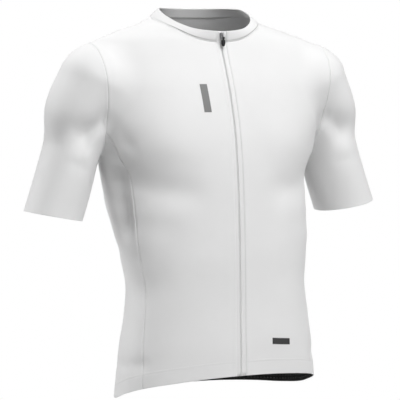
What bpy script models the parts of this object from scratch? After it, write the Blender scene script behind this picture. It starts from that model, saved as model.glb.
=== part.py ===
"""Short-sleeved cycling jersey with a full front zip, filled out as if worn.

Metres, +Z up. The front faces -Y and the wearer's left is +X. The origin is on the
centre plane at shoulder height, level with the neck seam beside the neck, where the
wearer's shoulders hold the jersey up.

The cloth follows one smooth hollow form, a general figure given by two short tables of
sections. Seams are curves on that form, each panel is a sheet stretched between its
seams and settled on the form, and Solidify gives it its wall, inwards.
"""
import math

import bmesh
import bpy
import numpy as np

# ---------------------------------------------------------------- driving sizes
CLOTH = 0.0012            # wall of a single layer of knit
COLLAR_CLOTH = 0.0020     # the collar band is doubled
TRIM_CLOTH = 0.0010       # zip tape, gripper, pocket panel and flat trims
SEAM_GAP = 0.0004         # between two pieces
EDGE_ROW = 0.0020         # a short first row of faces along every seam
HEM_DEPTH = 0.024         # turned hem, and the gripper inside it
ZIP_HALF = 0.0080         # centre line of the zip to the edge of a front panel

NECK_HALF_WIDTH = 0.0925
NECK_HALF_DEPTH = 0.0640
NECK_MIDDLE_Y = 0.0050
RIM_HALF_WIDTH = 0.0805
RIM_HALF_DEPTH = 0.0640
RIM_MIDDLE_Y = 0.0030
SHOULDER_ANGLE = math.radians(104)   # where the shoulder seam meets the neck, from the front

ARMHOLE_X = 0.205
ARMHOLE_LEAN = 0.008      # the top of the armhole is this much further out
ARMHOLE_Y = 0.006
ARMHOLE_Z = -0.108
ARMHOLE_HALF_HEIGHT = 0.085
ARMHOLE_HALF_DEPTH = 0.067
ARMHOLE_SQUARENESS = 2.5
UNDERARM_FROM = math.radians(137)    # the side panel's share of the armhole
UNDERARM_TO = math.radians(223)

SHOULDER_BLEND = 0.024    # how widely body and arm melt together at the shoulder
ARMPIT_BLEND = 0.008
SLEEVE_TURN = 0.10        # the sleeve's outer side is set this far forward, per unit outwards

ARM_END = 1.3             # how far along the arm's middle line the table runs
MELT_LEVELS = (-0.19, -0.14)       # heights between which the armpit's blend widens to the shoulder's
TORSO_LEVELS = (-0.26, -0.205)     # below the first the torso alone is followed, above the second both
SLEEVE_OWN = 0.3          # share of the sleeve over which it leaves the melted form
CORNER_PULL = 0.08        # length of a side seam that is bent to meet the armhole
HEM_PULL = 0.03           # length of a side seam that is bent to meet the hem
LONGEST_STEP = 0.02       # of one move onto the form
SETTLE_ROUNDS = 14

CUFF_OUTER = (0.324, -0.2995)      # x and height of the cuff's outermost and innermost points
CUFF_INNER = (0.2255, -0.319)

POCKET_ROWS = 7           # rows and margin of the back's own points that the pocket panel takes
POCKET_MARGIN = 3
GRIPPER_MARGIN = 0.0010   # the gripper stops this far short of the front seams

# the flat trims: lean is sideways per unit down, tilt is down per unit towards +X
CHEST_STRIP = {"centre_x": -0.0465, "centre_z": -0.1165, "wide": 0.0128, "tall": 0.0455,
               "lean": 0.035, "tilt": 0.0}
HEM_LABEL = {"centre_x": 0.078, "centre_z": -0.5213, "wide": 0.037, "tall": 0.0104,
             "lean": 0.0, "tilt": 0.12}

CHAIN_HALF = 0.0016       # the closed coil of the zip
CHAIN_TOP = -0.0190
CHAIN_DEPTH = 0.0012

SLIDER_WIDTH = 0.0072
SLIDER_DEPTH = 0.0024
SLIDER_TOP = -0.0090
SLIDER_BOTTOM = -0.0185
SLIDER_BACK_Y = -0.0613
SLIDER_ROUNDING = 0.0007
BAR_Y = -0.0665           # the bar across the slider's lugs, and the pull's axis
BAR_Z = -0.0180
BAR_RADIUS = 0.0007
LUG_X = 0.0026            # centre of a lug of the bridge
LUG_WIDTH = 0.0010
LUG_HEIGHT = 0.0034
LUG_ROUNDING = 0.0003
EYE_RADIUS = 0.0018
EYE_HOLE = 0.0010
EYE_WIDTH = 0.0034
PULL_LENGTH = 0.0142      # bar to the tip
PULL_WIDTH = 0.0070
PULL_TIP_WIDTH = 0.0036
PULL_NECK = 0.0030        # bar to where the tab widens
PULL_SHOULDER = 0.0042    # bar to where it is at its full width
PULL_TAPER = 0.0102       # bar to where it narrows again
PULL_THICKNESS = 0.0014
PULL_ROUNDING = 0.0003
PULL_FORWARD = 0.0003     # the tab hangs this far in front of its bar

# torso sections, level by level
BODY_COLUMNS = ("height", "half_width", "widest_y", "front_y", "back_y", "squareness")
BODY_SECTIONS = (
    (0.055, 0.064, 0.020, -0.036, 0.068, 2.0),
    (0.030, 0.076, 0.024, -0.042, 0.070, 2.0),
    (0.018, 0.092, 0.025, -0.046, 0.073, 1.9),
    (0.008, 0.109, 0.022, -0.049, 0.078, 1.9),
    (-0.006, 0.153, 0.016, -0.052, 0.086, 1.9),
    (-0.022, 0.188, 0.008, -0.058, 0.094, 2.0),
    (-0.050, 0.198, 0.002, -0.069, 0.103, 2.2),
    (-0.100, 0.201, 0.000, -0.091, 0.114, 2.4),
    (-0.150, 0.201, 0.000, -0.107, 0.121, 2.4),
    (-0.190, 0.196, 0.000, -0.116, 0.122, 2.3),
    (-0.235, 0.187, 0.000, -0.122, 0.120, 2.2),
    (-0.284, 0.1805, -0.004, -0.126, 0.116, 2.2),
    (-0.335, 0.172, -0.025, -0.129, 0.102, 2.2),
    (-0.382, 0.164, -0.039, -0.131, 0.090, 2.2),
    (-0.431, 0.157, -0.047, -0.132, 0.081, 2.2),
    (-0.480, 0.162, -0.051, -0.133, 0.081, 2.2),
    (-0.530, 0.170, -0.050, -0.135, 0.088, 2.2),
    (-0.640, 0.180, -0.048, -0.136, 0.097, 2.2),
)
# arm sections along the bent middle line of the sleeve, for the +X side
ARM_COLUMNS = ("along", "x", "height", "half_width", "half_depth", "y")
ARM_SECTIONS = (
    (0.00, 0.196, -0.097, 0.0710, 0.066, 0.003),
    (0.30, 0.2265, -0.150, 0.0620, 0.062, 0.008),
    (0.55, 0.242, -0.205, 0.0485, 0.055, 0.008),
    (0.80, 0.259, -0.262, 0.0495, 0.052, 0.007),
    (1.00, 0.2745, -0.308, 0.0500, 0.051, 0.006),
    (1.30, 0.297, -0.375, 0.0520, 0.052, 0.004),
)
# height of the neck seam and of the collar's rim, from front to back
COLLAR_COLUMNS = ("y", "seam_height", "rim_height")
COLLAR_SECTIONS = (
    (-0.062, -0.0280, -0.0073),
    (-0.050, -0.0200, -0.0020),
    (-0.036, -0.0110, 0.0060),
    (-0.015, -0.0030, 0.0175),
    (0.007, 0.0060, 0.0270),
    (0.028, 0.0125, 0.0330),
    (0.050, 0.0145, 0.0340),
    (0.070, 0.0150, 0.0335),
)
# height of the hem, from front to back: the tail hangs lower
HEM_COLUMNS = ("y", "height")
HEM_SECTIONS = (
    (-0.137, -0.572),
    (-0.120, -0.579),
    (-0.094, -0.588),
    (-0.050, -0.604),
    (-0.020, -0.614),
    (0.010, -0.619),
    (0.040, -0.6215),
    (0.100, -0.622),
)
# the two seams of a side panel, by height
SIDE_COLUMNS = ("height", "front_seam_y", "back_seam_y")
SIDE_SECTIONS = (
    (-0.640, -0.094, 0.022),
    (-0.450, -0.081, 0.022),
    (-0.335, -0.069, 0.040),
    (-0.255, -0.058, 0.054),
    (-0.215, -0.053, 0.055),
    (-0.170, -0.046, 0.053),
)

# counts of faces
NECK_FRONT_STEPS = 6
NECK_BACK_STEPS = 8
SHOULDER_STEPS = 4
ARMHOLE_STEPS = 7
UNDERARM_STEPS = 3
SEAM_STEPS = 14
SLEEVE_STEPS = 7
DENSE = 161               # points of a curve before it is shared out
DENSE_RING = 721          # points of a closed or half-round curve
ARM_LINE_POINTS = 53      # points of the arm's middle line
TINY = 1e-5               # step of a slope

COLLECTION = "cycling_jersey"


# ---------------------------------------------------------------- tables
def column(sections, columns, name):
    """One named column of a table."""
    return np.array([row[columns.index(name)] for row in sections], float)


def smooth(xs, ys, x):
    """Monotone cubic curve through a table's points."""
    if xs[0] > xs[-1]:
        xs = xs[::-1]
        ys = ys[::-1]
    step = np.diff(xs)
    slope = np.diff(ys) / step
    tangent = np.zeros(len(xs))
    tangent[0] = slope[0]
    tangent[-1] = slope[-1]
    for k in range(1, len(xs) - 1):
        if slope[k - 1] * slope[k] > 0:
            w1 = 2 * step[k] + step[k - 1]
            w2 = step[k] + 2 * step[k - 1]
            tangent[k] = (w1 + w2) / (w1 / slope[k - 1] + w2 / slope[k])
    x = np.clip(x, xs[0], xs[-1])
    i = np.clip(np.searchsorted(xs, x) - 1, 0, len(xs) - 2)
    t = (x - xs[i]) / step[i]
    return ((2 * t**3 - 3 * t**2 + 1) * ys[i] + (t**3 - 2 * t**2 + t) * step[i] * tangent[i]
            + (3 * t**2 - 2 * t**3) * ys[i + 1] + (t**3 - t**2) * step[i] * tangent[i + 1])


def body(name, height):
    """One size of the torso at a height."""
    heights = column(BODY_SECTIONS, BODY_COLUMNS, "height")
    return smooth(heights, column(BODY_SECTIONS, BODY_COLUMNS, name), height)


def arm(name, along):
    """One size of the sleeve at a place along it."""
    places = column(ARM_SECTIONS, ARM_COLUMNS, "along")
    return smooth(places, column(ARM_SECTIONS, ARM_COLUMNS, name), along)


def by_y(sections, columns, name, y):
    """A height that depends on how far back a point is."""
    return smooth(column(sections, columns, "y"), column(sections, columns, name), y)


def ramp(low, high, x):
    """0 below low, 1 above high, smooth between."""
    t = np.clip((x - low) / (high - low), 0, 1)
    return t * t * (3 - 2 * t)


# ---------------------------------------------------------------- the hollow form
def body_gap(p):
    """Distance out from the torso, measured along a level ray; negative inside."""
    x, y, z = p[..., 0], p[..., 1], p[..., 2]
    forward = y - body("widest_y", z)
    depth = np.where(forward < 0, body("widest_y", z) - body("front_y", z),
                     body("back_y", z) - body("widest_y", z))
    power = body("squareness", z)
    reach = np.hypot(x, forward) + 1e-9
    scale = (np.abs(x / body("half_width", z))**power + np.abs(forward / depth)**power)**(1 / power)
    return reach * (1 - 1 / (scale + 1e-9))


def arm_gap(p):
    """Distance out from the sleeve of either side; negative inside."""
    x, y, z = np.abs(p[..., 0]), p[..., 1], p[..., 2]
    places = np.linspace(0, ARM_END, ARM_LINE_POINTS)
    line_x = arm("x", places)
    line_z = arm("height", places)
    nearest = ((x[..., None] - line_x)**2 + (z[..., None] - line_z)**2).argmin(-1)
    best = np.full(x.shape, np.inf)
    along = np.zeros(x.shape)
    for shift in (-1, 0):
        j = np.clip(nearest + shift, 0, len(places) - 2)
        run_x = line_x[j + 1] - line_x[j]
        run_z = line_z[j + 1] - line_z[j]
        w = ((x - line_x[j]) * run_x + (z - line_z[j]) * run_z) / (run_x**2 + run_z**2)
        w = np.clip(w, 0, 1)
        away = (x - line_x[j] - w * run_x)**2 + (z - line_z[j] - w * run_z)**2
        closer = away < best
        best = np.where(closer, away, best)
        along = np.where(closer, places[j] + w * (places[1] - places[0]), along)
    outwards = np.interp(along, places, line_x)
    sideways = y - arm("y", along) + SLEEVE_TURN * (x - outwards)
    reach = np.sqrt(best + sideways**2) + 1e-9
    scale = np.sqrt(best / arm("half_width", along)**2 + sideways**2 / arm("half_depth", along)**2)
    return reach * (1 - 1 / (scale + 1e-9))


def form_gap(p):
    """Distance out from torso and sleeves melted together; negative inside."""
    torso = body_gap(p)
    sleeve = arm_gap(p)
    width = ARMPIT_BLEND + (SHOULDER_BLEND - ARMPIT_BLEND) * ramp(*MELT_LEVELS, p[..., 2])
    share = np.clip(0.5 + 0.5 * (sleeve - torso) / width, 0, 1)
    return sleeve * (1 - share) + torso * share - width * share * (1 - share)


def slope_of(field, p):
    """Gradient of a field."""
    return np.stack([(field(p + TINY * axis) - field(p - TINY * axis)) / (2 * TINY)
                     for axis in np.eye(3)], -1)


def settle(points, field=form_gap, rounds=SETTLE_ROUNDS):
    """Points moved straight onto the surface where the field is zero."""
    p = np.array(points, float)
    for _ in range(rounds):
        slope = slope_of(field, p)
        step = (field(p) / ((slope**2).sum(-1) + 1e-9))[..., None] * slope
        length = np.linalg.norm(step, axis=-1, keepdims=True)
        p = p - step * np.minimum(1, LONGEST_STEP / (length + 1e-12))
    return p


def torso_field(p):
    """The melted form near the armholes, the torso alone well below them."""
    share = ramp(*TORSO_LEVELS, p[..., 2])
    return form_gap(p) * share + body_gap(p) * (1 - share)


# ---------------------------------------------------------------- curves
def share_out(curve, fractions):
    """Points of a dense curve at fractions of its length."""
    steps = np.linalg.norm(np.diff(curve, axis=0), axis=1)
    length = np.concatenate([[0], np.cumsum(steps)])
    where = np.asarray(fractions) * length[-1]
    return np.stack([np.interp(where, length, curve[:, k]) for k in range(3)], -1)


def length_of(curve):
    return np.linalg.norm(np.diff(curve, axis=0), axis=1).sum()


def even(count, length, start_row=False, end_row=False):
    """Fractions 0 to 1, with a short row at either end where wanted."""
    edge = EDGE_ROW / length
    first = [0.0, edge] if start_row else [0.0]
    last = [1 - edge, 1.0] if end_row else [1.0]
    low = edge if start_row else 0.0
    high = 1 - edge if end_row else 1.0
    middle = np.linspace(low, high, count + 1)[1:-1]
    return np.array(first + list(middle) + last)


def power_of(value, power):
    return np.sign(value) * np.abs(value)**power


def neck_guide(angle):
    """The neck seam: angle 0 is the front centre, positive towards +X."""
    x = NECK_HALF_WIDTH * np.sin(angle)
    y = NECK_MIDDLE_Y - NECK_HALF_DEPTH * np.cos(angle)
    return np.stack([x, y, by_y(COLLAR_SECTIONS, COLLAR_COLUMNS, "seam_height", y)], -1)


def rim_guide(angle):
    """The collar's upper edge, at the same angles."""
    x = RIM_HALF_WIDTH * np.sin(angle)
    y = RIM_MIDDLE_Y - RIM_HALF_DEPTH * np.cos(angle)
    return np.stack([x, y, by_y(COLLAR_SECTIONS, COLLAR_COLUMNS, "rim_height", y)], -1)


def armhole_guide(angle):
    """The armhole seam on the +X side: angle 0 is the top, positive over the front."""
    up = power_of(np.cos(angle), 2 / ARMHOLE_SQUARENESS)
    forward = power_of(np.sin(angle), 2 / ARMHOLE_SQUARENESS)
    return np.stack([ARMHOLE_X + ARMHOLE_LEAN * up, ARMHOLE_Y - ARMHOLE_HALF_DEPTH * forward,
                     ARMHOLE_Z + ARMHOLE_HALF_HEIGHT * up], -1)


def torso_point(y, z, sign=1.0):
    """The point of the torso at a height and depth, on one side."""
    forward = y - body("widest_y", z)
    depth = np.where(forward < 0, body("widest_y", z) - body("front_y", z),
                     body("back_y", z) - body("widest_y", z))
    power = body("squareness", z)
    inside = np.clip(1 - np.abs(forward / depth)**power, 0, 1)
    return np.stack([sign * body("half_width", z) * inside**(1 / power), y, z], -1)


def hem_height(y):
    return by_y(HEM_SECTIONS, HEM_COLUMNS, "height", y)


def hem_curve(angles):
    """The hem on the +X side: angle 0 is the front centre, 180 degrees the back centre."""
    z = np.full(len(angles), hem_height(0.0))
    for _ in range(4):
        sine = np.sin(angles)
        cosine = -np.cos(angles)
        power = body("squareness", z)
        middle = body("widest_y", z)
        depth = np.where(cosine < 0, middle - body("front_y", z), body("back_y", z) - middle)
        x = body("half_width", z) * power_of(sine, 2 / power)
        y = middle + depth * power_of(cosine, 2 / power)
        z = hem_height(y)
    return np.stack([x, y, z], -1)


def cut_at_y(curve, y):
    """Index where a curve that runs front to back first passes a depth."""
    return int(np.argmax(curve[:, 1] >= y))


def side_seam(name, hem_point, corner):
    """A side panel's seam from the hem up to the armhole."""
    z = np.linspace(hem_point[2], corner[2], DENSE)
    heights = column(SIDE_SECTIONS, SIDE_COLUMNS, "height")
    y = smooth(heights, column(SIDE_SECTIONS, SIDE_COLUMNS, name), z)
    curve = settle(torso_point(y, z), torso_field)
    pull = ramp(corner[2] - CORNER_PULL, corner[2], z)[:, None]
    curve = curve + pull * (corner - curve[-1])
    low = (1 - ramp(hem_point[2], hem_point[2] + HEM_PULL, z))[:, None]
    curve = curve + low * (hem_point - curve[0])
    curve = settle(curve, torso_field)
    curve[0] = hem_point
    curve[-1] = corner
    return curve


def make_seams():
    """Every seam of the +X side as a dense curve."""
    seams = {}
    shoulder = SHOULDER_ANGLE
    zip_angle = math.asin(ZIP_HALF / NECK_HALF_WIDTH)
    seams["neck_front"] = settle(neck_guide(np.linspace(zip_angle, shoulder, DENSE)))
    seams["neck_back"] = settle(neck_guide(np.linspace(shoulder, 2 * math.pi - shoulder, DENSE)))
    turn = np.linspace(0, 2 * math.pi, DENSE_RING)
    hole = settle(armhole_guide(turn))
    front_part = turn <= UNDERARM_FROM
    under_part = (turn >= UNDERARM_FROM) & (turn <= UNDERARM_TO)
    back_part = turn >= UNDERARM_TO
    seams["armhole_front"] = hole[front_part]
    seams["armhole_under"] = hole[under_part]
    seams["armhole_back"] = hole[back_part]
    join(seams, "armhole_front", "armhole_under")
    join(seams, "armhole_under", "armhole_back")
    tip = hole[0]
    t = np.linspace(0, 1, DENSE)[:, None]
    top = settle(seams["neck_front"][-1] * (1 - t) + tip * t)
    top[0] = seams["neck_front"][-1]
    top[-1] = tip
    seams["shoulder"] = top
    hem = hem_curve(np.linspace(0, math.pi, DENSE_RING))
    sides = column(SIDE_SECTIONS, SIDE_COLUMNS, "height")
    low = hem_height(-0.09)
    front_y = smooth(sides, column(SIDE_SECTIONS, SIDE_COLUMNS, "front_seam_y"), np.array([low]))[0]
    back_y = smooth(sides, column(SIDE_SECTIONS, SIDE_COLUMNS, "back_seam_y"), np.array([low]))[0]
    start = int(np.argmax(hem[:, 0] >= ZIP_HALF))
    first = cut_at_y(hem, front_y)
    second = cut_at_y(hem, back_y)
    seams["hem_front"] = hem[start:first + 1]
    seams["hem_side"] = hem[first:second + 1]
    seams["hem_back"] = hem[second:]
    seams["side_front"] = side_seam("front_seam_y", hem[first], seams["armhole_front"][-1])
    seams["side_back"] = side_seam("back_seam_y", hem[second], seams["armhole_back"][0])
    z = np.linspace(hem[start][2], seams["neck_front"][0][2], DENSE)
    centre = np.stack([np.full(DENSE, ZIP_HALF), body("front_y", z), z], -1)
    centre = settle_level(centre)
    centre[0] = hem[start]
    centre[-1] = seams["neck_front"][0]
    seams["centre_front"] = centre
    return seams


def settle_level(points):
    """Points moved onto the torso front to back, keeping x and z."""
    p = np.array(points, float)
    for _ in range(10):
        shift = np.array([0, TINY, 0])
        slope = (torso_field(p + shift) - torso_field(p - shift)) / (2 * TINY)
        p[:, 1] -= torso_field(p) / slope
    return p


def join(seams, first, second):
    """Two curves made to meet at one point."""
    middle = (seams[first][-1] + seams[second][0]) / 2
    seams[first][-1] = middle
    seams[second][0] = middle


def mirrored(points):
    return points * np.array([-1.0, 1.0, 1.0])


# ---------------------------------------------------------------- shared seam points
def sample_seams():
    """The points where panels meet, shared by the pieces on both sides of a seam."""
    dense = make_seams()
    points = {}

    def take(name, count, start_row, end_row):
        fractions = even(count, length_of(dense[name]), start_row, end_row)
        points[name] = share_out(dense[name], fractions)

    take("neck_front", NECK_FRONT_STEPS, True, False)
    take("neck_back", NECK_BACK_STEPS, False, False)
    take("shoulder", SHOULDER_STEPS, False, True)
    take("armhole_front", ARMHOLE_STEPS, True, False)
    take("armhole_under", UNDERARM_STEPS, True, True)
    take("armhole_back", ARMHOLE_STEPS, False, True)
    take("hem_side", UNDERARM_STEPS, True, True)
    for name in ("side_front", "side_back"):
        points[name] = climb(dense[name])
    points["front_edge"] = np.concatenate([points["side_front"],
                                           points["armhole_front"][::-1][1:]])
    points["back_edge"] = np.concatenate([points["side_back"], points["armhole_back"][1:]])
    points["front_top"] = np.concatenate([points["neck_front"], points["shoulder"][1:]])
    neck_back = points["neck_back"][::-1]
    points["back_top"] = np.concatenate([mirrored(points["shoulder"][::-1]), neck_back[1:-1],
                                         points["shoulder"]])
    points["centre_front"] = share_out(dense["centre_front"],
                                       match(points["front_edge"], dense["centre_front"]))
    points["hem_front"] = share_out(dense["hem_front"], travel(points["front_top"]))
    whole_hem = np.concatenate([mirrored(dense["hem_back"]), dense["hem_back"][::-1][1:]])
    points["hem_back"] = share_out(whole_hem, travel(points["back_top"]))
    return points


def climb(curve):
    """A side seam's points: hem, edge row, top of the turned hem, then even steps."""
    length = length_of(curve)
    upper = np.linspace(HEM_DEPTH, length - EDGE_ROW, SEAM_STEPS + 1)
    return share_out(curve, np.concatenate([[0, EDGE_ROW], upper, [length]]) / length)


def travel(points):
    """Fraction of the length at each point of a chain."""
    steps = np.linalg.norm(np.diff(points, axis=0), axis=1)
    length = np.concatenate([[0], np.cumsum(steps)])
    return length / length[-1]


def match(chain, curve):
    """Fractions of a curve that pair with a chain's points, with the same turned hem."""
    total = length_of(chain)
    length = length_of(curve)
    there = travel(chain) * total
    scale = (length - HEM_DEPTH) / (total - HEM_DEPTH)
    here = np.where(there <= HEM_DEPTH, there, HEM_DEPTH + (there - HEM_DEPTH) * scale)
    return here / length


def stretch(bottom, top, left, right):
    """A sheet between four chains of points, before it is settled: rows run bottom to top."""
    u = travel(top)[None, :, None]
    v = travel(right)[:, None, None]
    across = (1 - v) * bottom[None] + v * top[None]
    along = (1 - u) * left[:, None] + u * right[:, None]
    corners = ((1 - u) * (1 - v) * bottom[0] + u * (1 - v) * bottom[-1]
               + (1 - u) * v * top[0] + u * v * top[-1])
    return across + along - corners


def settle_inside(grid, field):
    """Settle a sheet, leaving its four edges on their seams, then set its edge rows."""
    settled = settle(grid, field)
    settled[0] = grid[0]
    settled[-1] = grid[-1]
    settled[:, 0] = grid[:, 0]
    settled[:, -1] = grid[:, -1]
    for edge, near, far in ((0, 1, 2), (-1, -2, -3)):
        start = settled[edge]
        settled[near] = start + unit(settled[far] - start) * EDGE_ROW
        settled[near, 0] = grid[near, 0]
        settled[near, -1] = grid[near, -1]
    for edge, near, far in ((0, 1, 2), (-1, -2, -3)):
        start = settled[:, edge]
        settled[:, near] = start + unit(settled[:, far] - start) * EDGE_ROW
        settled[0, near] = grid[0, near]
        settled[-1, near] = grid[-1, near]
    inner = settle(settled[1:-1, 1:-1], field, rounds=4)
    settled[1:-1, 1:-1] = inner
    return settled


def draw_back(grid, bottom=False, top=False, left=False, right=False, gap=SEAM_GAP / 2):
    """A sheet's edges moved back from their seams by half the gap."""
    g = grid.copy()
    if bottom:
        g[0] += unit(grid[1] - grid[0]) * gap
    if top:
        g[-1] += unit(grid[-2] - grid[-1]) * gap
    if left:
        g[:, 0] += unit(grid[:, 1] - grid[:, 0]) * gap
    if right:
        g[:, -1] += unit(grid[:, -2] - grid[:, -1]) * gap
    return g


def unit(v):
    return v / (np.linalg.norm(v, axis=-1, keepdims=True) + 1e-12)


# ---------------------------------------------------------------- sheets of each piece
def front_sheet(points):
    """The wearer's left front: column 0 is at the zip, row 0 the hem."""
    grid = stretch(points["hem_front"], points["front_top"], points["centre_front"],
                   points["front_edge"])
    return draw_back(settle_inside(grid, torso_field), top=True, left=True, right=True)


def back_sheet(points):
    """The back, from the wearer's right to left."""
    grid = stretch(points["hem_back"], points["back_top"], mirrored(points["back_edge"]),
                   points["back_edge"])
    return draw_back(settle_inside(grid, torso_field), top=True, left=True, right=True)


def side_sheet(points):
    """The left side panel, from its front seam to its back seam."""
    grid = stretch(points["hem_side"], points["armhole_under"], points["side_front"],
                   points["side_back"])
    return draw_back(settle_inside(grid, torso_field), top=True, left=True, right=True)


def cuff_ring(fractions):
    """The cuff's edge, in step with the armhole's points."""
    outer = np.array(CUFF_OUTER)
    inner = np.array(CUFF_INNER)
    middle = (outer + inner) / 2
    half = (outer - inner) / 2
    turn = 2 * math.pi * fractions
    flat = middle + np.cos(turn)[:, None] * half
    y = arm("y", 1.0) - arm("half_depth", 1.0) * np.sin(turn)
    y = y - SLEEVE_TURN * (flat[:, 0] - middle[0])
    ring = np.stack([flat[:, 0], y, flat[:, 1]], -1)
    return settle(ring, arm_gap, rounds=6)


def sleeve_sheet(points):
    """The left sleeve: row 0 is the armhole, the columns run round it and close."""
    hole = np.concatenate([points["armhole_front"], points["armhole_under"][1:],
                           points["armhole_back"][1:-1]])
    closed = np.concatenate([hole, hole[:1]])
    cuff = cuff_ring(travel(closed)[:-1])
    length = np.linalg.norm(cuff - hole, axis=1).mean()
    rows = []
    for t in even(SLEEVE_STEPS, length, start_row=True):
        row = hole * (1 - t) + cuff * t
        own = ramp(0.0, SLEEVE_OWN, t)
        if 0 < t < 1:
            row = settle(row, lambda p: form_gap(p) * (1 - own) + arm_gap(p) * own)
        rows.append(row)
    return draw_back(np.array(rows), bottom=True)


def collar_rings(points):
    """Neck seam and rim, from the wearer's left zip edge round the back to the right one."""
    base = np.concatenate([points["neck_front"], points["neck_back"][1:-1],
                           mirrored(points["neck_front"][::-1])])
    zip_turn = math.asin(ZIP_HALF / RIM_HALF_WIDTH)
    dense = rim_guide(np.linspace(zip_turn, 2 * math.pi - zip_turn, 4 * DENSE))
    return base, share_out(dense, travel(base))


def collar_sheet(points):
    base, rim = collar_rings(points)
    tall = np.linalg.norm(rim - base, axis=1).mean()
    rows = [base * (1 - t) + rim * t for t in even(2, tall, start_row=True)]
    return draw_back(np.array(rows), bottom=True, left=True, right=True)


def tape_sheet(points):
    """The left half of the zip tape: column 0 is at the centre line, row 0 the hem."""
    outer = points["centre_front"]
    inner = outer.copy()
    inner[:, 0] = SEAM_GAP / 2
    inner = settle_level(inner)
    zip_turn = math.asin(ZIP_HALF / RIM_HALF_WIDTH)
    ends = rim_guide(np.array([0.0, zip_turn]))
    ends[0, 0] = SEAM_GAP / 2
    rows = [np.stack([inner[i], outer[i]]) for i in range(len(outer))]
    base = rows[-1]
    base[0, 2] = base[1, 2]
    for t in (0.5, 1.0):
        rows.append(base * (1 - t) + ends * t)
    return draw_back(np.array(rows), right=True)


def chain_sheet(tape):
    """The closed coil of the zip, in front of both tapes, up to the slider."""
    left = tape[:, 0].copy()
    keep = left[:, 2] < CHAIN_TOP
    left = left[keep]
    end = tape[keep.sum(), 0]
    t = (CHAIN_TOP - left[-1, 2]) / (end[2] - left[-1, 2])
    left = np.concatenate([left, (left[-1] * (1 - t) + end * t)[None]])
    left[:, 0] = CHAIN_HALF
    left[:, 1] -= SEAM_GAP
    return np.stack([left, mirrored(left)], 1)


def outward(grid, field=torso_field):
    """Unit normals of the form at a sheet's points."""
    return unit(slope_of(field, grid))


def pocket_sheet(back):
    """The pocket panel: the back's own points, moved out."""
    rows = slice(2, 2 + POCKET_ROWS)
    columns = slice(POCKET_MARGIN, back.shape[1] - POCKET_MARGIN)
    part = back[rows, columns]
    return part + outward(part) * SEAM_GAP


def gripper_sheet(side, back):
    """The hem gripper: the hem's own points on sides and back, moved in."""
    right = mirrored(side[:3])
    left = side[:3, ::-1]
    band = np.concatenate([right, back[:3], left], axis=1)
    columns = [k for k in range(band.shape[1])
               if k not in (right.shape[1] - 1, right.shape[1] + back.shape[1] - 1)]
    band = band[:, columns]
    band = draw_back(band, left=True, right=True, gap=GRIPPER_MARGIN)
    return band - outward(band) * (CLOTH + SEAM_GAP)


def trim_sheet(centre_x, centre_z, wide, tall, lean, tilt):
    """A flat trim on a front panel: the form's own points, moved out."""
    columns = np.linspace(-wide / 2, wide / 2, 4)
    rows = np.linspace(-tall / 2, tall / 2, 5)
    grid = np.zeros((len(rows), len(columns), 3))
    grid[..., 0] = centre_x + columns[None, :] - lean * rows[:, None]
    grid[..., 2] = centre_z + rows[:, None] - tilt * columns[None, :]
    grid[..., 1] = body("front_y", grid[..., 2])
    grid = settle_level_grid(grid)
    return grid + outward(grid) * SEAM_GAP


def settle_level_grid(grid):
    flat = settle_level(grid.reshape(-1, 3))
    return flat.reshape(grid.shape)


# ---------------------------------------------------------------- Blender objects
def material(name, colour, roughness, metallic=0.0):
    """A plain Principled material."""
    mat = bpy.data.materials.new(name)
    mat.use_nodes = True
    shader = mat.node_tree.nodes["Principled BSDF"]
    shader.inputs["Base Color"].default_value = (*colour, 1.0)
    shader.inputs["Roughness"].default_value = roughness
    shader.inputs["Metallic"].default_value = metallic
    return mat


def mesh_of(grid, closed):
    """A mesh of quads from rows of points, with its normals outwards."""
    rows, columns = grid.shape[:2]
    faces = []
    last = columns if closed else columns - 1
    for r in range(rows - 1):
        for c in range(last):
            d = (c + 1) % columns
            faces.append((r * columns + c, r * columns + d,
                          (r + 1) * columns + d, (r + 1) * columns + c))
    middle = grid[:-1, :-1]
    normal = np.cross(grid[:-1, 1:] - middle, grid[1:, :-1] - middle)
    away = outward(middle, form_gap)
    if (normal * away).sum() < 0:
        faces = [face[::-1] for face in faces]
    return grid.reshape(-1, 3), faces


def cloth(parts, name, grid, wall, mat, closed=False, out=False):
    """One named sheet with its wall."""
    points, faces = mesh_of(grid, closed)
    mesh = bpy.data.meshes.new(name)
    mesh.from_pydata([tuple(p) for p in points.tolist()], [], faces)
    mesh.materials.append(mat)
    mesh.shade_smooth()
    piece = bpy.data.objects.new(name, mesh)
    parts.objects.link(piece)
    solid = piece.modifiers.new("Wall", "SOLIDIFY")
    solid.thickness = wall
    solid.offset = 1.0 if out else -1.0
    solid.use_even_offset = False
    return piece


def block(collection, name, size, place, bevel):
    """A box with rounded edges."""
    bpy.ops.mesh.primitive_cube_add(size=1.0, location=place)
    piece = bpy.context.object
    piece.name = name
    piece.scale = size
    bpy.ops.object.transform_apply(location=False, rotation=False, scale=True)
    rounded = piece.modifiers.new("Rounded", "BEVEL")
    rounded.width = bevel
    rounded.segments = 2
    move_to(collection, piece)
    return piece


def rod(collection, name, radius, length, place, sides=20):
    """A cylinder along X."""
    bpy.ops.mesh.primitive_cylinder_add(radius=radius, depth=length, vertices=sides,
                                        location=place, rotation=(0, math.pi / 2, 0))
    piece = bpy.context.object
    piece.name = name
    move_to(collection, piece)
    return piece


def move_to(collection, piece):
    for home in list(piece.users_collection):
        home.objects.unlink(piece)
    collection.objects.link(piece)


def combine(piece, other, operation):
    """Join or cut a piece by another, which stays as a hidden guide."""
    step = piece.modifiers.new(other.name, "BOOLEAN")
    step.object = other
    step.operation = operation
    step.solver = "EXACT"
    other.hide_render = True
    other.display_type = "WIRE"


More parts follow.
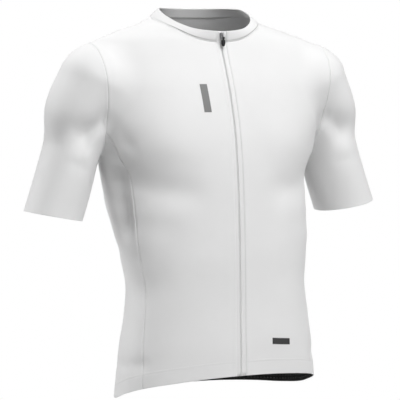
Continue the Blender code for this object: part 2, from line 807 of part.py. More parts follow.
def make_slider(parts, helpers):
    """The slider: a rounded body, two lugs and the bar between them."""
    tall = SLIDER_TOP - SLIDER_BOTTOM
    middle = (0, SLIDER_BACK_Y - SLIDER_DEPTH / 2, (SLIDER_TOP + SLIDER_BOTTOM) / 2)
    slider = block(parts, "zip_slider", (SLIDER_WIDTH, SLIDER_DEPTH, tall), middle, SLIDER_ROUNDING)
    slider.data.materials.append(material("slider metal", (0.42, 0.42, 0.43), 0.35, 1.0))
    front = SLIDER_BACK_Y - SLIDER_DEPTH
    reach = front - BAR_Y + 2 * BAR_RADIUS
    for name, side in (("lug_left", 1), ("lug_right", -1)):
        place = (side * LUG_X, front + BAR_RADIUS - reach / 2, BAR_Z)
        lug = block(helpers, name, (LUG_WIDTH, reach, LUG_HEIGHT), place, LUG_ROUNDING)
        combine(slider, lug, "UNION")
    bar = rod(helpers, "bar", BAR_RADIUS, 2 * LUG_X + LUG_WIDTH / 2, (0, BAR_Y, BAR_Z))
    combine(slider, bar, "UNION")


def make_pull(parts, helpers):
    """The pull tab: its eye turns on the slider's bar, so its origin is on the bar."""
    outline = ((-EYE_WIDTH / 2, 0.0), (-EYE_WIDTH / 2, -PULL_NECK),
               (-PULL_WIDTH / 2, -PULL_SHOULDER), (-PULL_WIDTH / 2, -PULL_TAPER),
               (-PULL_TIP_WIDTH / 2, -PULL_LENGTH), (PULL_TIP_WIDTH / 2, -PULL_LENGTH),
               (PULL_WIDTH / 2, -PULL_TAPER), (PULL_WIDTH / 2, -PULL_SHOULDER),
               (EYE_WIDTH / 2, -PULL_NECK), (EYE_WIDTH / 2, 0.0))
    mesh = bpy.data.meshes.new("zip_pull")
    shape = bmesh.new()
    corners = [shape.verts.new((x, 0.0, z)) for x, z in outline]
    face = shape.faces.new(corners)
    grown = bmesh.ops.extrude_face_region(shape, geom=[face])
    lifted = [v for v in grown["geom"] if isinstance(v, bmesh.types.BMVert)]
    bmesh.ops.translate(shape, verts=lifted, vec=(0, PULL_THICKNESS, 0))
    bmesh.ops.translate(shape, verts=shape.verts, vec=(0, -PULL_THICKNESS / 2 - PULL_FORWARD, 0))
    bmesh.ops.recalc_face_normals(shape, faces=shape.faces)
    shape.to_mesh(mesh)
    shape.free()
    mesh.materials.append(material("pull rubber", (0.012, 0.012, 0.013), 0.5))
    pull = bpy.data.objects.new("zip_pull", mesh)
    pull.location = (0, BAR_Y, BAR_Z)
    parts.objects.link(pull)
    rounded = pull.modifiers.new("Rounded", "BEVEL")
    rounded.width = PULL_ROUNDING
    rounded.segments = 2
    eye = rod(helpers, "eye", EYE_RADIUS, EYE_WIDTH, (0, BAR_Y, BAR_Z), 24)
    combine(pull, eye, "UNION")
    hole = rod(helpers, "eye_hole", EYE_HOLE, 3 * EYE_WIDTH, (0, BAR_Y, BAR_Z), 24)
    combine(pull, hole, "DIFFERENCE")


def clear_scene():
    for item in list(bpy.data.objects):
        bpy.data.objects.remove(item, do_unlink=True)


def main():
    clear_scene()
    parts = bpy.data.collections.new(COLLECTION)
    helpers = bpy.data.collections.new("cutters")
    bpy.context.scene.collection.children.link(parts)
    bpy.context.scene.collection.children.link(helpers)
    white = material("white knit", (0.86, 0.86, 0.86), 0.75)
    tape_white = material("zip tape", (0.84, 0.84, 0.84), 0.6)
    black = material("gripper elastic", (0.012, 0.012, 0.012), 0.7)
    grey = material("strip grey", (0.19, 0.19, 0.19), 0.5)
    dark = material("label grey", (0.042, 0.042, 0.042), 0.6)

    points = sample_seams()
    front = front_sheet(points)
    back = back_sheet(points)
    side = side_sheet(points)
    sleeve = sleeve_sheet(points)
    tape = tape_sheet(points)
    for name, flip in (("left", 1), ("right", -1)):
        turn = np.array([flip, 1.0, 1.0])
        cloth(parts, "front_" + name, front * turn, CLOTH, white)
        cloth(parts, "side_" + name, side * turn, CLOTH, white)
        cloth(parts, "sleeve_" + name, sleeve * turn, CLOTH, white, closed=True)
        cloth(parts, "zip_tape_" + name, tape * turn, TRIM_CLOTH, tape_white)
    cloth(parts, "back", back, CLOTH, white)
    cloth(parts, "collar", collar_sheet(points), COLLAR_CLOTH, white)
    cloth(parts, "zip_chain", chain_sheet(tape), CHAIN_DEPTH, tape_white, out=True)
    cloth(parts, "pocket_panel", pocket_sheet(back), TRIM_CLOTH, white, out=True)
    cloth(parts, "hem_gripper", gripper_sheet(side, back), TRIM_CLOTH, black)
    cloth(parts, "chest_strip", trim_sheet(**CHEST_STRIP), TRIM_CLOTH, grey, out=True)
    cloth(parts, "hem_label", trim_sheet(**HEM_LABEL), TRIM_CLOTH, dark, out=True)
    make_slider(parts, helpers)
    make_pull(parts, helpers)


main()
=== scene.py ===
import math

import bpy
import numpy as np
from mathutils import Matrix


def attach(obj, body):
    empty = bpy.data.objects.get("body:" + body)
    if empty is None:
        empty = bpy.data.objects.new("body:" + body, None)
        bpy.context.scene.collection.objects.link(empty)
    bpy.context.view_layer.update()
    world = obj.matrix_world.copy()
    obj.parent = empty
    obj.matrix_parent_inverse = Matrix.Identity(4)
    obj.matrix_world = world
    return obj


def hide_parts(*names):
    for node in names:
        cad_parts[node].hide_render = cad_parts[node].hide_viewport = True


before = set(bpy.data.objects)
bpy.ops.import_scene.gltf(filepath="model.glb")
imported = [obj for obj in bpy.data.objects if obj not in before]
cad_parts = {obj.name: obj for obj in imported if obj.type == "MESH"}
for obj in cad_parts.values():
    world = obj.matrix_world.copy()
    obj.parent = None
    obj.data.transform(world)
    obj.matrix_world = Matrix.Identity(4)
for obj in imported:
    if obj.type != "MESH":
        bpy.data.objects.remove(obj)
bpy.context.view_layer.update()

# ---------------------------------------------------------------- sizes, as in the solid model
CLOTH = 0.0010            # wall of a single layer of knit, as it shows
HEM_CLOTH = 0.0017        # the fronts' turned hem is double
COLLAR_CLOTH = 0.0020     # the collar band is doubled
TRIM_CLOTH = 0.0007       # gripper and pocket panel
TAPE_CLOTH = 0.0006
FLAT_CLOTH = 0.0004       # the flat trims on the fronts
HEM_DEPTH = 0.024         # turned hem, and the gripper inside it
ZIP_HALF = 0.0080         # centre line of the zip to the edge of a front panel
SEAM_GAP = 0.00012        # between two pieces

NECK_HALF_WIDTH = 0.0925
NECK_HALF_DEPTH = 0.0640
NECK_MIDDLE_Y = 0.0050
RIM_HALF_WIDTH = 0.0805
RIM_HALF_DEPTH = 0.0640
RIM_MIDDLE_Y = 0.0030
SHOULDER_ANGLE = math.radians(104)   # where the shoulder seam meets the neck, from the front

ARMHOLE_X = 0.205
ARMHOLE_LEAN = 0.008      # the top of the armhole is this much further out
ARMHOLE_Y = 0.006
ARMHOLE_Z = -0.108
ARMHOLE_HALF_HEIGHT = 0.085
ARMHOLE_HALF_DEPTH = 0.067
ARMHOLE_SQUARENESS = 2.5
UNDERARM_FROM = math.radians(137)    # the side panel's share of the armhole
UNDERARM_TO = math.radians(223)

SHOULDER_BLEND = 0.024    # how widely body and arm melt together at the shoulder
ARMPIT_BLEND = 0.008
SLEEVE_TURN = 0.10        # the sleeve's outer side is set this far forward, per unit outwards

CUFF_OUTER = (0.324, -0.2995)   # x and height of the cuff's outermost and innermost points
CUFF_INNER = (0.2255, -0.319)

ARM_END = 1.3             # how far along the arm's middle line the table runs
MELT_LEVELS = (-0.19, -0.14)       # heights between which the armpit's blend widens to the shoulder's
TORSO_LEVELS = (-0.26, -0.205)     # below the first the torso alone is followed, above the second both
SLEEVE_OWN = 0.3          # share of the sleeve over which it leaves the melted form
CORNER_PULL = 0.08        # length of a side seam that is bent to meet the armhole
HEM_PULL = 0.03           # length of a side seam that is bent to meet the hem
LONGEST_STEP = 0.02       # of one move onto the form
SETTLE_ROUNDS = 12
LEVEL_ROUNDS = 10
DENSE = 321               # points of a curve before it is shared out
DENSE_RING = 1441         # points of a closed or half-round curve
ARM_LINE_POINTS = 53      # points of the arm's middle line
TINY = 1e-5               # step of a slope

# faces between seams
NECK_FRONT_STEPS = 24
NECK_BACK_STEPS = 40
SHOULDER_STEPS = 32
ARMHOLE_STEPS = 35
UNDERARM_STEPS = 24
SEAM_STEPS = 112
SLEEVE_STEPS = 48
SEAM_ROWS = (0.0004, 0.0009, 0.0015, 0.0024)      # fine rows beside a seam
EDGE_ROWS = (0.0002, 0.0005, 0.0010, 0.0020)      # and beside a free edge
HEM_ROWS = (0.006, 0.012, 0.018, 0.0205, 0.0216, 0.0222, 0.0228, 0.0235, 0.0240, 0.0245,
            0.0251, 0.0257, 0.0263)
HEM_STITCHES = (0.0222, 0.0257)    # the twin-needle lines, above the edge

POCKET_TOP = 7 / 14       # share of the side seam above the hem that the pocket panel covers
POCKET_SIDE = 2 / 4       # share of the shoulder's width that it leaves free at each side

CHEST_STRIP = {"centre_x": -0.0465, "centre_z": -0.1165, "wide": 0.0128, "tall": 0.0455,
               "lean": 0.035, "tilt": 0.0}
HEM_LABEL = {"centre_x": 0.078, "centre_z": -0.5213, "wide": 0.037, "tall": 0.0104,
             "lean": 0.0, "tilt": 0.12}

CHAIN_TOP = -0.0190
SLIDER_WIDTH = 0.0072
SLIDER_DEPTH = 0.0024
SLIDER_TOP = -0.0090
SLIDER_BOTTOM = -0.0185
SLIDER_BACK_Y = -0.0613
BAR_Y = -0.0665           # the bar across the slider's lugs, and the pull's axis
BAR_Z = -0.0180
BAR_RADIUS = 0.0007
LUG_X = 0.0026
LUG_WIDTH = 0.0010
LUG_HEIGHT = 0.0034
EYE_RADIUS = 0.0018
EYE_HOLE = 0.0010
EYE_WIDTH = 0.0034
PULL_LENGTH = 0.0142      # bar to the tip
PULL_WIDTH = 0.0070
PULL_TIP_WIDTH = 0.0036
PULL_NECK = 0.0030
PULL_SHOULDER = 0.0042
PULL_TAPER = 0.0102
PULL_THICKNESS = 0.0014
PULL_FORWARD = 0.0003

# torso sections, level by level
BODY_COLUMNS = ("height", "half_width", "widest_y", "front_y", "back_y", "squareness")
BODY_SECTIONS = (
    (0.055, 0.064, 0.020, -0.036, 0.068, 2.0),
    (0.030, 0.076, 0.024, -0.042, 0.070, 2.0),
    (0.018, 0.092, 0.025, -0.046, 0.073, 1.9),
    (0.008, 0.109, 0.022, -0.049, 0.078, 1.9),
    (-0.006, 0.153, 0.016, -0.052, 0.086, 1.9),
    (-0.022, 0.188, 0.008, -0.058, 0.094, 2.0),
    (-0.050, 0.198, 0.002, -0.069, 0.103, 2.2),
    (-0.100, 0.201, 0.000, -0.091, 0.114, 2.4),
    (-0.150, 0.201, 0.000, -0.107, 0.121, 2.4),
    (-0.190, 0.196, 0.000, -0.116, 0.122, 2.3),
    (-0.235, 0.187, 0.000, -0.122, 0.120, 2.2),
    (-0.284, 0.1805, -0.004, -0.126, 0.116, 2.2),
    (-0.335, 0.172, -0.025, -0.129, 0.102, 2.2),
    (-0.382, 0.164, -0.039, -0.131, 0.090, 2.2),
    (-0.431, 0.157, -0.047, -0.132, 0.081, 2.2),
    (-0.480, 0.162, -0.051, -0.133, 0.081, 2.2),
    (-0.530, 0.170, -0.050, -0.135, 0.088, 2.2),
    (-0.640, 0.180, -0.048, -0.136, 0.097, 2.2),
)
# arm sections along the bent middle line of the sleeve, for the +X side
ARM_COLUMNS = ("along", "x", "height", "half_width", "half_depth", "y")
ARM_SECTIONS = (
    (0.00, 0.196, -0.097, 0.0710, 0.066, 0.003),
    (0.30, 0.2265, -0.150, 0.0620, 0.062, 0.008),
    (0.55, 0.242, -0.205, 0.0485, 0.055, 0.008),
    (0.80, 0.259, -0.262, 0.0495, 0.052, 0.007),
    (1.00, 0.2745, -0.308, 0.0500, 0.051, 0.006),
    (1.30, 0.297, -0.375, 0.0520, 0.052, 0.004),
)
# height of the neck seam and of the collar's rim, from front to back
COLLAR_COLUMNS = ("y", "seam_height", "rim_height")
COLLAR_SECTIONS = (
    (-0.062, -0.0280, -0.0073),
    (-0.050, -0.0200, -0.0020),
    (-0.036, -0.0110, 0.0060),
    (-0.015, -0.0030, 0.0175),
    (0.007, 0.0060, 0.0270),
    (0.028, 0.0125, 0.0330),
    (0.050, 0.0145, 0.0340),
    (0.070, 0.0150, 0.0335),
)
# height of the hem, from front to back: the tail hangs lower
HEM_COLUMNS = ("y", "height")
HEM_SECTIONS = (
    (-0.137, -0.572),
    (-0.120, -0.579),
    (-0.094, -0.588),
    (-0.050, -0.604),
    (-0.020, -0.614),
    (0.010, -0.619),
    (0.040, -0.6215),
    (0.100, -0.622),
)
# the two seams of a side panel, by height
SIDE_COLUMNS = ("height", "front_seam_y", "back_seam_y")
SIDE_SECTIONS = (
    (-0.640, -0.094, 0.022),
    (-0.450, -0.081, 0.022),
    (-0.335, -0.069, 0.040),
    (-0.255, -0.058, 0.054),
    (-0.215, -0.053, 0.055),
    (-0.170, -0.046, 0.053),
)


# ---------------------------------------------------------------- tables
def column(sections, columns, name):
    """One named column of a table."""
    return np.array([row[columns.index(name)] for row in sections], float)


def smooth(xs, ys, x):
    """Monotone cubic curve through a table's points."""
    if xs[0] > xs[-1]:
        xs = xs[::-1]
        ys = ys[::-1]
    step = np.diff(xs)
    slope = np.diff(ys) / step
    tangent = np.zeros(len(xs))
    tangent[0] = slope[0]
    tangent[-1] = slope[-1]
    for k in range(1, len(xs) - 1):
        if slope[k - 1] * slope[k] > 0:
            w1 = 2 * step[k] + step[k - 1]
            w2 = step[k] + 2 * step[k - 1]
            tangent[k] = (w1 + w2) / (w1 / slope[k - 1] + w2 / slope[k])
    x = np.clip(x, xs[0], xs[-1])
    i = np.clip(np.searchsorted(xs, x) - 1, 0, len(xs) - 2)
    t = (x - xs[i]) / step[i]
    return ((2 * t**3 - 3 * t**2 + 1) * ys[i] + (t**3 - 2 * t**2 + t) * step[i] * tangent[i]
            + (3 * t**2 - 2 * t**3) * ys[i + 1] + (t**3 - t**2) * step[i] * tangent[i + 1])


def body(name, height):
    """One size of the torso at a height."""
    heights = column(BODY_SECTIONS, BODY_COLUMNS, "height")
    return smooth(heights, column(BODY_SECTIONS, BODY_COLUMNS, name), height)


def arm(name, along):
    """One size of the sleeve at a place along it."""
    places = column(ARM_SECTIONS, ARM_COLUMNS, "along")
    return smooth(places, column(ARM_SECTIONS, ARM_COLUMNS, name), along)


def by_y(sections, columns, name, y):
    """A height that depends on how far back a point is."""
    return smooth(column(sections, columns, "y"), column(sections, columns, name), y)


def ramp(low, high, x):
    """0 below low, 1 above high, smooth between."""
    t = np.clip((x - low) / (high - low), 0, 1)
    return t * t * (3 - 2 * t)


# ---------------------------------------------------------------- the hollow form
def body_gap(p):
    """Distance out from the torso, measured along a level ray; negative inside."""
    x, y, z = p[..., 0], p[..., 1], p[..., 2]
    forward = y - body("widest_y", z)
    depth = np.where(forward < 0, body("widest_y", z) - body("front_y", z),
                     body("back_y", z) - body("widest_y", z))
    power = body("squareness", z)
    reach = np.hypot(x, forward) + 1e-9
    scale = (np.abs(x / body("half_width", z))**power + np.abs(forward / depth)**power)**(1 / power)
    return reach * (1 - 1 / (scale + 1e-9))


def arm_gap(p):
    """Distance out from the sleeve of either side; negative inside."""
    x, y, z = np.abs(p[..., 0]), p[..., 1], p[..., 2]
    places = np.linspace(0, ARM_END, ARM_LINE_POINTS)
    line_x = arm("x", places)
    line_z = arm("height", places)
    nearest = ((x[..., None] - line_x)**2 + (z[..., None] - line_z)**2).argmin(-1)
    best = np.full(x.shape, np.inf)
    along = np.zeros(x.shape)
    for shift in (-1, 0):
        j = np.clip(nearest + shift, 0, len(places) - 2)
        run_x = line_x[j + 1] - line_x[j]
        run_z = line_z[j + 1] - line_z[j]
        w = ((x - line_x[j]) * run_x + (z - line_z[j]) * run_z) / (run_x**2 + run_z**2)
        w = np.clip(w, 0, 1)
        away = (x - line_x[j] - w * run_x)**2 + (z - line_z[j] - w * run_z)**2
        closer = away < best
        best = np.where(closer, away, best)
        along = np.where(closer, places[j] + w * (places[1] - places[0]), along)
    outwards = np.interp(along, places, line_x)
    sideways = y - arm("y", along) + SLEEVE_TURN * (x - outwards)
    reach = np.sqrt(best + sideways**2) + 1e-9
    scale = np.sqrt(best / arm("half_width", along)**2 + sideways**2 / arm("half_depth", along)**2)
    return reach * (1 - 1 / (scale + 1e-9))


def form_gap(p):
    """Distance out from torso and sleeves melted together; negative inside."""
    torso = body_gap(p)
    sleeve = arm_gap(p)
    width = ARMPIT_BLEND + (SHOULDER_BLEND - ARMPIT_BLEND) * ramp(*MELT_LEVELS, p[..., 2])
    share = np.clip(0.5 + 0.5 * (sleeve - torso) / width, 0, 1)
    return sleeve * (1 - share) + torso * share - width * share * (1 - share)


def slope_of(field, p):
    """Gradient of a field."""
    return np.stack([(field(p + TINY * axis) - field(p - TINY * axis)) / (2 * TINY)
                     for axis in np.eye(3)], -1)


def settle(points, field=form_gap, rounds=SETTLE_ROUNDS):
    """Points moved straight onto the surface where the field is zero."""
    p = np.array(points, float)
    for _ in range(rounds):
        slope = slope_of(field, p)
        step = (field(p) / ((slope**2).sum(-1) + 1e-9))[..., None] * slope
        length = np.linalg.norm(step, axis=-1, keepdims=True)
        p = p - step * np.minimum(1, LONGEST_STEP / (length + 1e-12))
    return p


def torso_field(p):
    """The melted form near the armholes, the torso alone well below them."""
    share = ramp(*TORSO_LEVELS, p[..., 2])
    return form_gap(p) * share + body_gap(p) * (1 - share)


# ---------------------------------------------------------------- curves
def between(places, run, points):
    """Points at places along a chain whose own points lie at run."""
    return np.stack([np.interp(places, run, points[:, k]) for k in range(3)], -1)


def run_of(chain):
    """Distance of each point of a chain from its start, along it."""
    steps = np.linalg.norm(np.diff(chain, axis=0), axis=1)
    return np.concatenate([[0], np.cumsum(steps)])


def length_of(chain):
    return run_of(chain)[-1]


def share_out(curve, fractions):
    """Points of a dense curve at fractions of its length."""
    run = run_of(curve)
    return between(np.asarray(fractions) * run[-1], run, curve)


def power_of(value, power):
    return np.sign(value) * np.abs(value)**power


def neck_guide(angle):
    """The neck seam: angle 0 is the front centre, positive towards +X."""
    x = NECK_HALF_WIDTH * np.sin(angle)
    y = NECK_MIDDLE_Y - NECK_HALF_DEPTH * np.cos(angle)
    return np.stack([x, y, by_y(COLLAR_SECTIONS, COLLAR_COLUMNS, "seam_height", y)], -1)


def rim_guide(angle):
    """The collar's upper edge, at the same angles."""
    x = RIM_HALF_WIDTH * np.sin(angle)
    y = RIM_MIDDLE_Y - RIM_HALF_DEPTH * np.cos(angle)
    return np.stack([x, y, by_y(COLLAR_SECTIONS, COLLAR_COLUMNS, "rim_height", y)], -1)


def armhole_guide(angle):
    """The armhole seam on the +X side: angle 0 is the top, positive over the front."""
    up = power_of(np.cos(angle), 2 / ARMHOLE_SQUARENESS)
    forward = power_of(np.sin(angle), 2 / ARMHOLE_SQUARENESS)
    return np.stack([ARMHOLE_X + ARMHOLE_LEAN * up, ARMHOLE_Y - ARMHOLE_HALF_DEPTH * forward,
                     ARMHOLE_Z + ARMHOLE_HALF_HEIGHT * up], -1)


def torso_point(y, z):
    """The point of the torso's +X side at a height and depth."""
    forward = y - body("widest_y", z)
    depth = np.where(forward < 0, body("widest_y", z) - body("front_y", z),
                     body("back_y", z) - body("widest_y", z))
    power = body("squareness", z)
    inside = np.clip(1 - np.abs(forward / depth)**power, 0, 1)
    return np.stack([body("half_width", z) * inside**(1 / power), y, z], -1)


def hem_height(y):
    return by_y(HEM_SECTIONS, HEM_COLUMNS, "height", y)


def hem_curve(angles):
    """The hem on the +X side: angle 0 is the front centre, 180 degrees the back centre."""
    z = np.full(len(angles), hem_height(0.0))
    for _ in range(4):
        sine = np.sin(angles)
        cosine = -np.cos(angles)
        power = body("squareness", z)
        middle = body("widest_y", z)
        depth = np.where(cosine < 0, middle - body("front_y", z), body("back_y", z) - middle)
        x = body("half_width", z) * power_of(sine, 2 / power)
        y = middle + depth * power_of(cosine, 2 / power)
        z = hem_height(y)
    return np.stack([x, y, z], -1)


def cut_at_y(curve, y):
    """Index where a curve that runs front to back first passes a depth."""
    return int(np.argmax(curve[:, 1] >= y))


def side_seam(name, hem_point, corner):
    """A side panel's seam from the hem up to the armhole."""
    z = np.linspace(hem_point[2], corner[2], DENSE)
    heights = column(SIDE_SECTIONS, SIDE_COLUMNS, "height")
    y = smooth(heights, column(SIDE_SECTIONS, SIDE_COLUMNS, name), z)
    curve = settle(torso_point(y, z), torso_field)
    pull = ramp(corner[2] - CORNER_PULL, corner[2], z)[:, None]
    curve = curve + pull * (corner - curve[-1])
    low = (1 - ramp(hem_point[2], hem_point[2] + HEM_PULL, z))[:, None]
    curve = curve + low * (hem_point - curve[0])
    curve = settle(curve, torso_field)
    curve[0] = hem_point
    curve[-1] = corner
    return curve


def make_seams():
    """Every seam of the +X side as a dense curve."""
    seams = {}
    shoulder = SHOULDER_ANGLE
    zip_angle = math.asin(ZIP_HALF / NECK_HALF_WIDTH)
    seams["neck_front"] = settle(neck_guide(np.linspace(zip_angle, shoulder, DENSE)))
    seams["neck_back"] = settle(neck_guide(np.linspace(shoulder, 2 * math.pi - shoulder, DENSE)))
    turn = np.linspace(0, 2 * math.pi, DENSE_RING)
    hole = settle(armhole_guide(turn))
    front_part = turn <= UNDERARM_FROM
    under_part = (turn >= UNDERARM_FROM) & (turn <= UNDERARM_TO)
    back_part = turn >= UNDERARM_TO
    seams["armhole_front"] = hole[front_part]
    seams["armhole_under"] = hole[under_part]
    seams["armhole_back"] = hole[back_part]
    join(seams, "armhole_front", "armhole_under")
    join(seams, "armhole_under", "armhole_back")
    tip = hole[0]
    t = np.linspace(0, 1, DENSE)[:, None]
    top = settle(seams["neck_front"][-1] * (1 - t) + tip * t)
    top[0] = seams["neck_front"][-1]
    top[-1] = tip
    seams["shoulder"] = top
    hem = hem_curve(np.linspace(0, math.pi, DENSE_RING))
    sides = column(SIDE_SECTIONS, SIDE_COLUMNS, "height")
    low = hem_height(-0.09)
    front_y = smooth(sides, column(SIDE_SECTIONS, SIDE_COLUMNS, "front_seam_y"), np.array([low]))[0]
    back_y = smooth(sides, column(SIDE_SECTIONS, SIDE_COLUMNS, "back_seam_y"), np.array([low]))[0]
    start = int(np.argmax(hem[:, 0] >= ZIP_HALF))
    first = cut_at_y(hem, front_y)
    second = cut_at_y(hem, back_y)
    seams["hem_front"] = hem[start:first + 1]
    seams["hem_side"] = hem[first:second + 1]
    seams["hem_back"] = hem[second:]
    seams["side_front"] = side_seam("front_seam_y", hem[first], seams["armhole_front"][-1])
    seams["side_back"] = side_seam("back_seam_y", hem[second], seams["armhole_back"][0])
    z = np.linspace(hem[start][2], seams["neck_front"][0][2], DENSE)
    centre = np.stack([np.full(DENSE, ZIP_HALF), body("front_y", z), z], -1)
    centre = settle_level(centre)
    centre[0] = hem[start]
    centre[-1] = seams["neck_front"][0]
    seams["centre_front"] = centre
    return seams


def settle_level(points):
    """Points moved onto the torso front to back, keeping x and z."""
    p = np.array(points, float)
    for _ in range(LEVEL_ROUNDS):
        shift = np.array([0, TINY, 0])
        slope = (torso_field(p + shift) - torso_field(p - shift)) / (2 * TINY)
        p[..., 1] -= torso_field(p) / slope
    return p


def join(seams, first, second):
    """Two curves made to meet at one point."""
    middle = (seams[first][-1] + seams[second][0]) / 2
    seams[first][-1] = middle
    seams[second][0] = middle


def mirrored(points):
    return points * np.array([-1.0, 1.0, 1.0])


# ---------------------------------------------------------------- creases
# Each is a soft trough (depth above 0) or ridge (below 0) along a line between two points near
# the cloth, in metres: x, y, z of both ends, how far the middle drops, width and depth.
CREASE_COLUMNS = ("x1", "y1", "z1", "x2", "y2", "z2", "sag", "width", "depth")
CREASES = (
    # under the chest, wearer's right then left
    (-0.192, -0.050, -0.246, -0.066, -0.122, -0.272, 0.006, 0.025, 0.0072),
    (0.192, -0.050, -0.246, 0.076, -0.120, -0.270, 0.006, 0.026, 0.0070),
    (-0.150, -0.090, -0.196, -0.060, -0.112, -0.204, -0.004, 0.030, -0.0022),
    (0.150, -0.090, -0.194, 0.066, -0.112, -0.202, -0.004, 0.030, -0.0022),
    (-0.178, -0.070, -0.322, -0.100, -0.118, -0.334, 0.004, 0.022, 0.0014),
    (0.176, -0.070, -0.314, 0.110, -0.112, -0.328, 0.006, 0.020, 0.0018),
    # from the armpits over the chest
    (-0.199, -0.046, -0.178, -0.172, -0.080, -0.204, -0.004, 0.012, 0.0022),
    (0.199, -0.046, -0.178, 0.174, -0.080, -0.202, -0.004, 0.012, 0.0020),
    (-0.206, -0.060, -0.140, -0.202, -0.044, -0.176, 0.000, 0.011, 0.0036),
    (0.206, -0.060, -0.140, 0.202, -0.044, -0.176, 0.000, 0.011, 0.0034),
    (-0.205, 0.066, -0.128, -0.203, 0.050, -0.176, 0.000, 0.010, 0.0024),
    (0.205, 0.066, -0.128, 0.203, 0.050, -0.176, 0.000, 0.010, 0.0024),
    # down the side panels under the arms
    (-0.187, -0.032, -0.222, -0.166, -0.044, -0.345, 0.000, 0.016, 0.0110),
    (0.187, -0.032, -0.222, 0.166, -0.044, -0.340, 0.000, 0.017, 0.0104),
    # across the side panels
    (-0.172, -0.085, -0.282, -0.182, 0.045, -0.270, 0.004, 0.014, 0.0012),
    (0.170, -0.085, -0.288, 0.181, 0.045, -0.272, 0.005, 0.015, 0.0012),
    (-0.160, -0.085, -0.382, -0.160, 0.030, -0.362, 0.004, 0.016, 0.0012),
    (0.160, -0.085, -0.376, 0.160, 0.030, -0.366, 0.004, 0.015, 0.0013),
    (-0.150, -0.095, -0.552, -0.150, 0.000, -0.565, 0.002, 0.011, 0.0014),
    (0.152, -0.095, -0.548, 0.152, 0.000, -0.560, 0.003, 0.011, 0.0013),
    # over the belly, faint
    (-0.120, -0.110, -0.420, -0.040, -0.130, -0.405, 0.004, 0.026, 0.0010),
    (0.118, -0.110, -0.414, 0.045, -0.130, -0.400, 0.004, 0.027, 0.0010),
    # small of the back and shoulder blades
    (-0.120, 0.070, -0.372, 0.010, 0.100, -0.392, 0.004, 0.018, 0.0022),
    (0.128, 0.070, -0.352, -0.020, 0.104, -0.368, 0.005, 0.020, 0.0020),
    (-0.104, 0.078, -0.412, 0.040, 0.090, -0.424, 0.003, 0.014, 0.0014),
    (-0.186, 0.070, -0.196, -0.096, 0.116, -0.236, -0.006, 0.016, 0.0022),
    (0.186, 0.070, -0.192, 0.100, 0.116, -0.240, -0.006, 0.017, 0.0021),
    (-0.060, 0.110, -0.130, 0.070, 0.110, -0.136, 0.010, 0.030, 0.0011),
    # round the sleeves, below the muscle of the upper arm
    (-0.200, -0.066, -0.178, -0.264, -0.052, -0.172, 0.003, 0.024, 0.0084),
    (0.200, -0.066, -0.176, 0.262, -0.052, -0.170, 0.003, 0.024, 0.0078),
    (-0.236, 0.060, -0.176, -0.290, 0.040, -0.152, 0.004, 0.018, 0.0026),
    (0.236, 0.060, -0.174, 0.290, 0.040, -0.154, 0.004, 0.018, 0.0026),
    (-0.232, -0.046, -0.226, -0.266, -0.048, -0.216, 0.002, 0.011, 0.0013),
    (0.232, -0.046, -0.230, 0.268, -0.048, -0.218, 0.002, 0.011, 0.0012),
)
CREASE_POINTS = 25
# the creases die out where the sleeve, the side and the body meet under the arm
UNDERARM_X = 0.195
UNDERARM_Y = (-0.040, 0.055)
UNDERARM_Z = -0.190
UNDERARM_FADE = (0.014, 0.046)
COLLAR_SWELL = 0.0006     # the doubled band is this much fuller halfway up
EVEN_ROUNDS = 300         # of drawing a panel's points towards the middle of their neighbours
EVEN_FROM_ROW = len(HEM_ROWS) + 6
BODY_SEAMS = ("top", "left", "right")
FOLD_SHARE = 0.85         # how much of its wall a folded edge loses
UNDULATION = 0.00035      # the cloth's general unevenness
SEAM_ROLL = 0.0008        # how deep the edges turn into a seam
SEAM_ROLL_WIDTH = 0.0010
TOP_SEAM_SHARE = 0.5       # the neck and shoulder seams are flatter
SEAM_RIDGE = 0.00035      # the allowance that shows beside a seam
SEAM_RIDGE_AT = 0.0034
SEAM_RIDGE_WIDTH = 0.0016
STITCH_DIP = 0.00022
STITCH_DIP_WIDTH = 0.0006
HEM_STEP = 0.00025        # the turned hem stands out this much


def crease_lines():
    """Every crease as points on the form, with its width and its depth along it."""
    lines = []
    t = np.linspace(0, 1, CREASE_POINTS)[:, None]
    for number, crease in enumerate(CREASES):
        size = dict(zip(CREASE_COLUMNS, crease))
        start = np.array([size["x1"], size["y1"], size["z1"]])
        end = np.array([size["x2"], size["y2"], size["z2"]])
        line = start * (1 - t) + end * t
        line[:, 2] -= 4 * size["sag"] * (t * (1 - t))[:, 0]
        line = settle(line)
        uneven = 1 + 0.25 * np.sin(5.1 * t[:, 0] + 1.7 * number) + 0.12 * np.sin(11.3 * t[:, 0] + number)
        lines.append((line, size["width"], size["depth"] * uneven))
    return lines


def relief(p):
    """How far the cloth stands out from the form at each point: its creases and unevenness."""
    flat = p.reshape(-1, 3)
    height = np.zeros(len(flat))
    for line, width, depth in CREASE_LINES:
        step = length_of(line) / (len(line) - 1)
        near = (np.abs(flat - line.mean(0)).max(-1) < length_of(line) / 2 + 3 * width)
        if not near.any():
            continue
        away = ((flat[near][:, None] - line[None])**2).sum(-1)
        bell = np.exp(-away / width**2)
        height[near] -= (bell * depth).sum(-1) * step / (width * math.sqrt(math.pi))
    x, y, z = flat.T
    wave = (np.sin(41 * x + 23 * z + 1.3) * np.sin(37 * y - 29 * z + 0.4)
            + 0.6 * np.sin(67 * x - 31 * y + 53 * z + 2.1))
    height += UNDULATION * wave * (1 - ramp(-0.09, -0.04, z))
    by_zip = np.where(y < -0.04, ramp(0.009, 0.032, np.abs(x)), 1.0)
    side = np.abs(x) - UNDERARM_X
    along = y - np.clip(y, *UNDERARM_Y)
    by_seam = ramp(*UNDERARM_FADE, np.sqrt(side**2 + along**2 + (z - UNDERARM_Z)**2))
    return (height * by_zip * by_seam).reshape(p.shape[:-1])


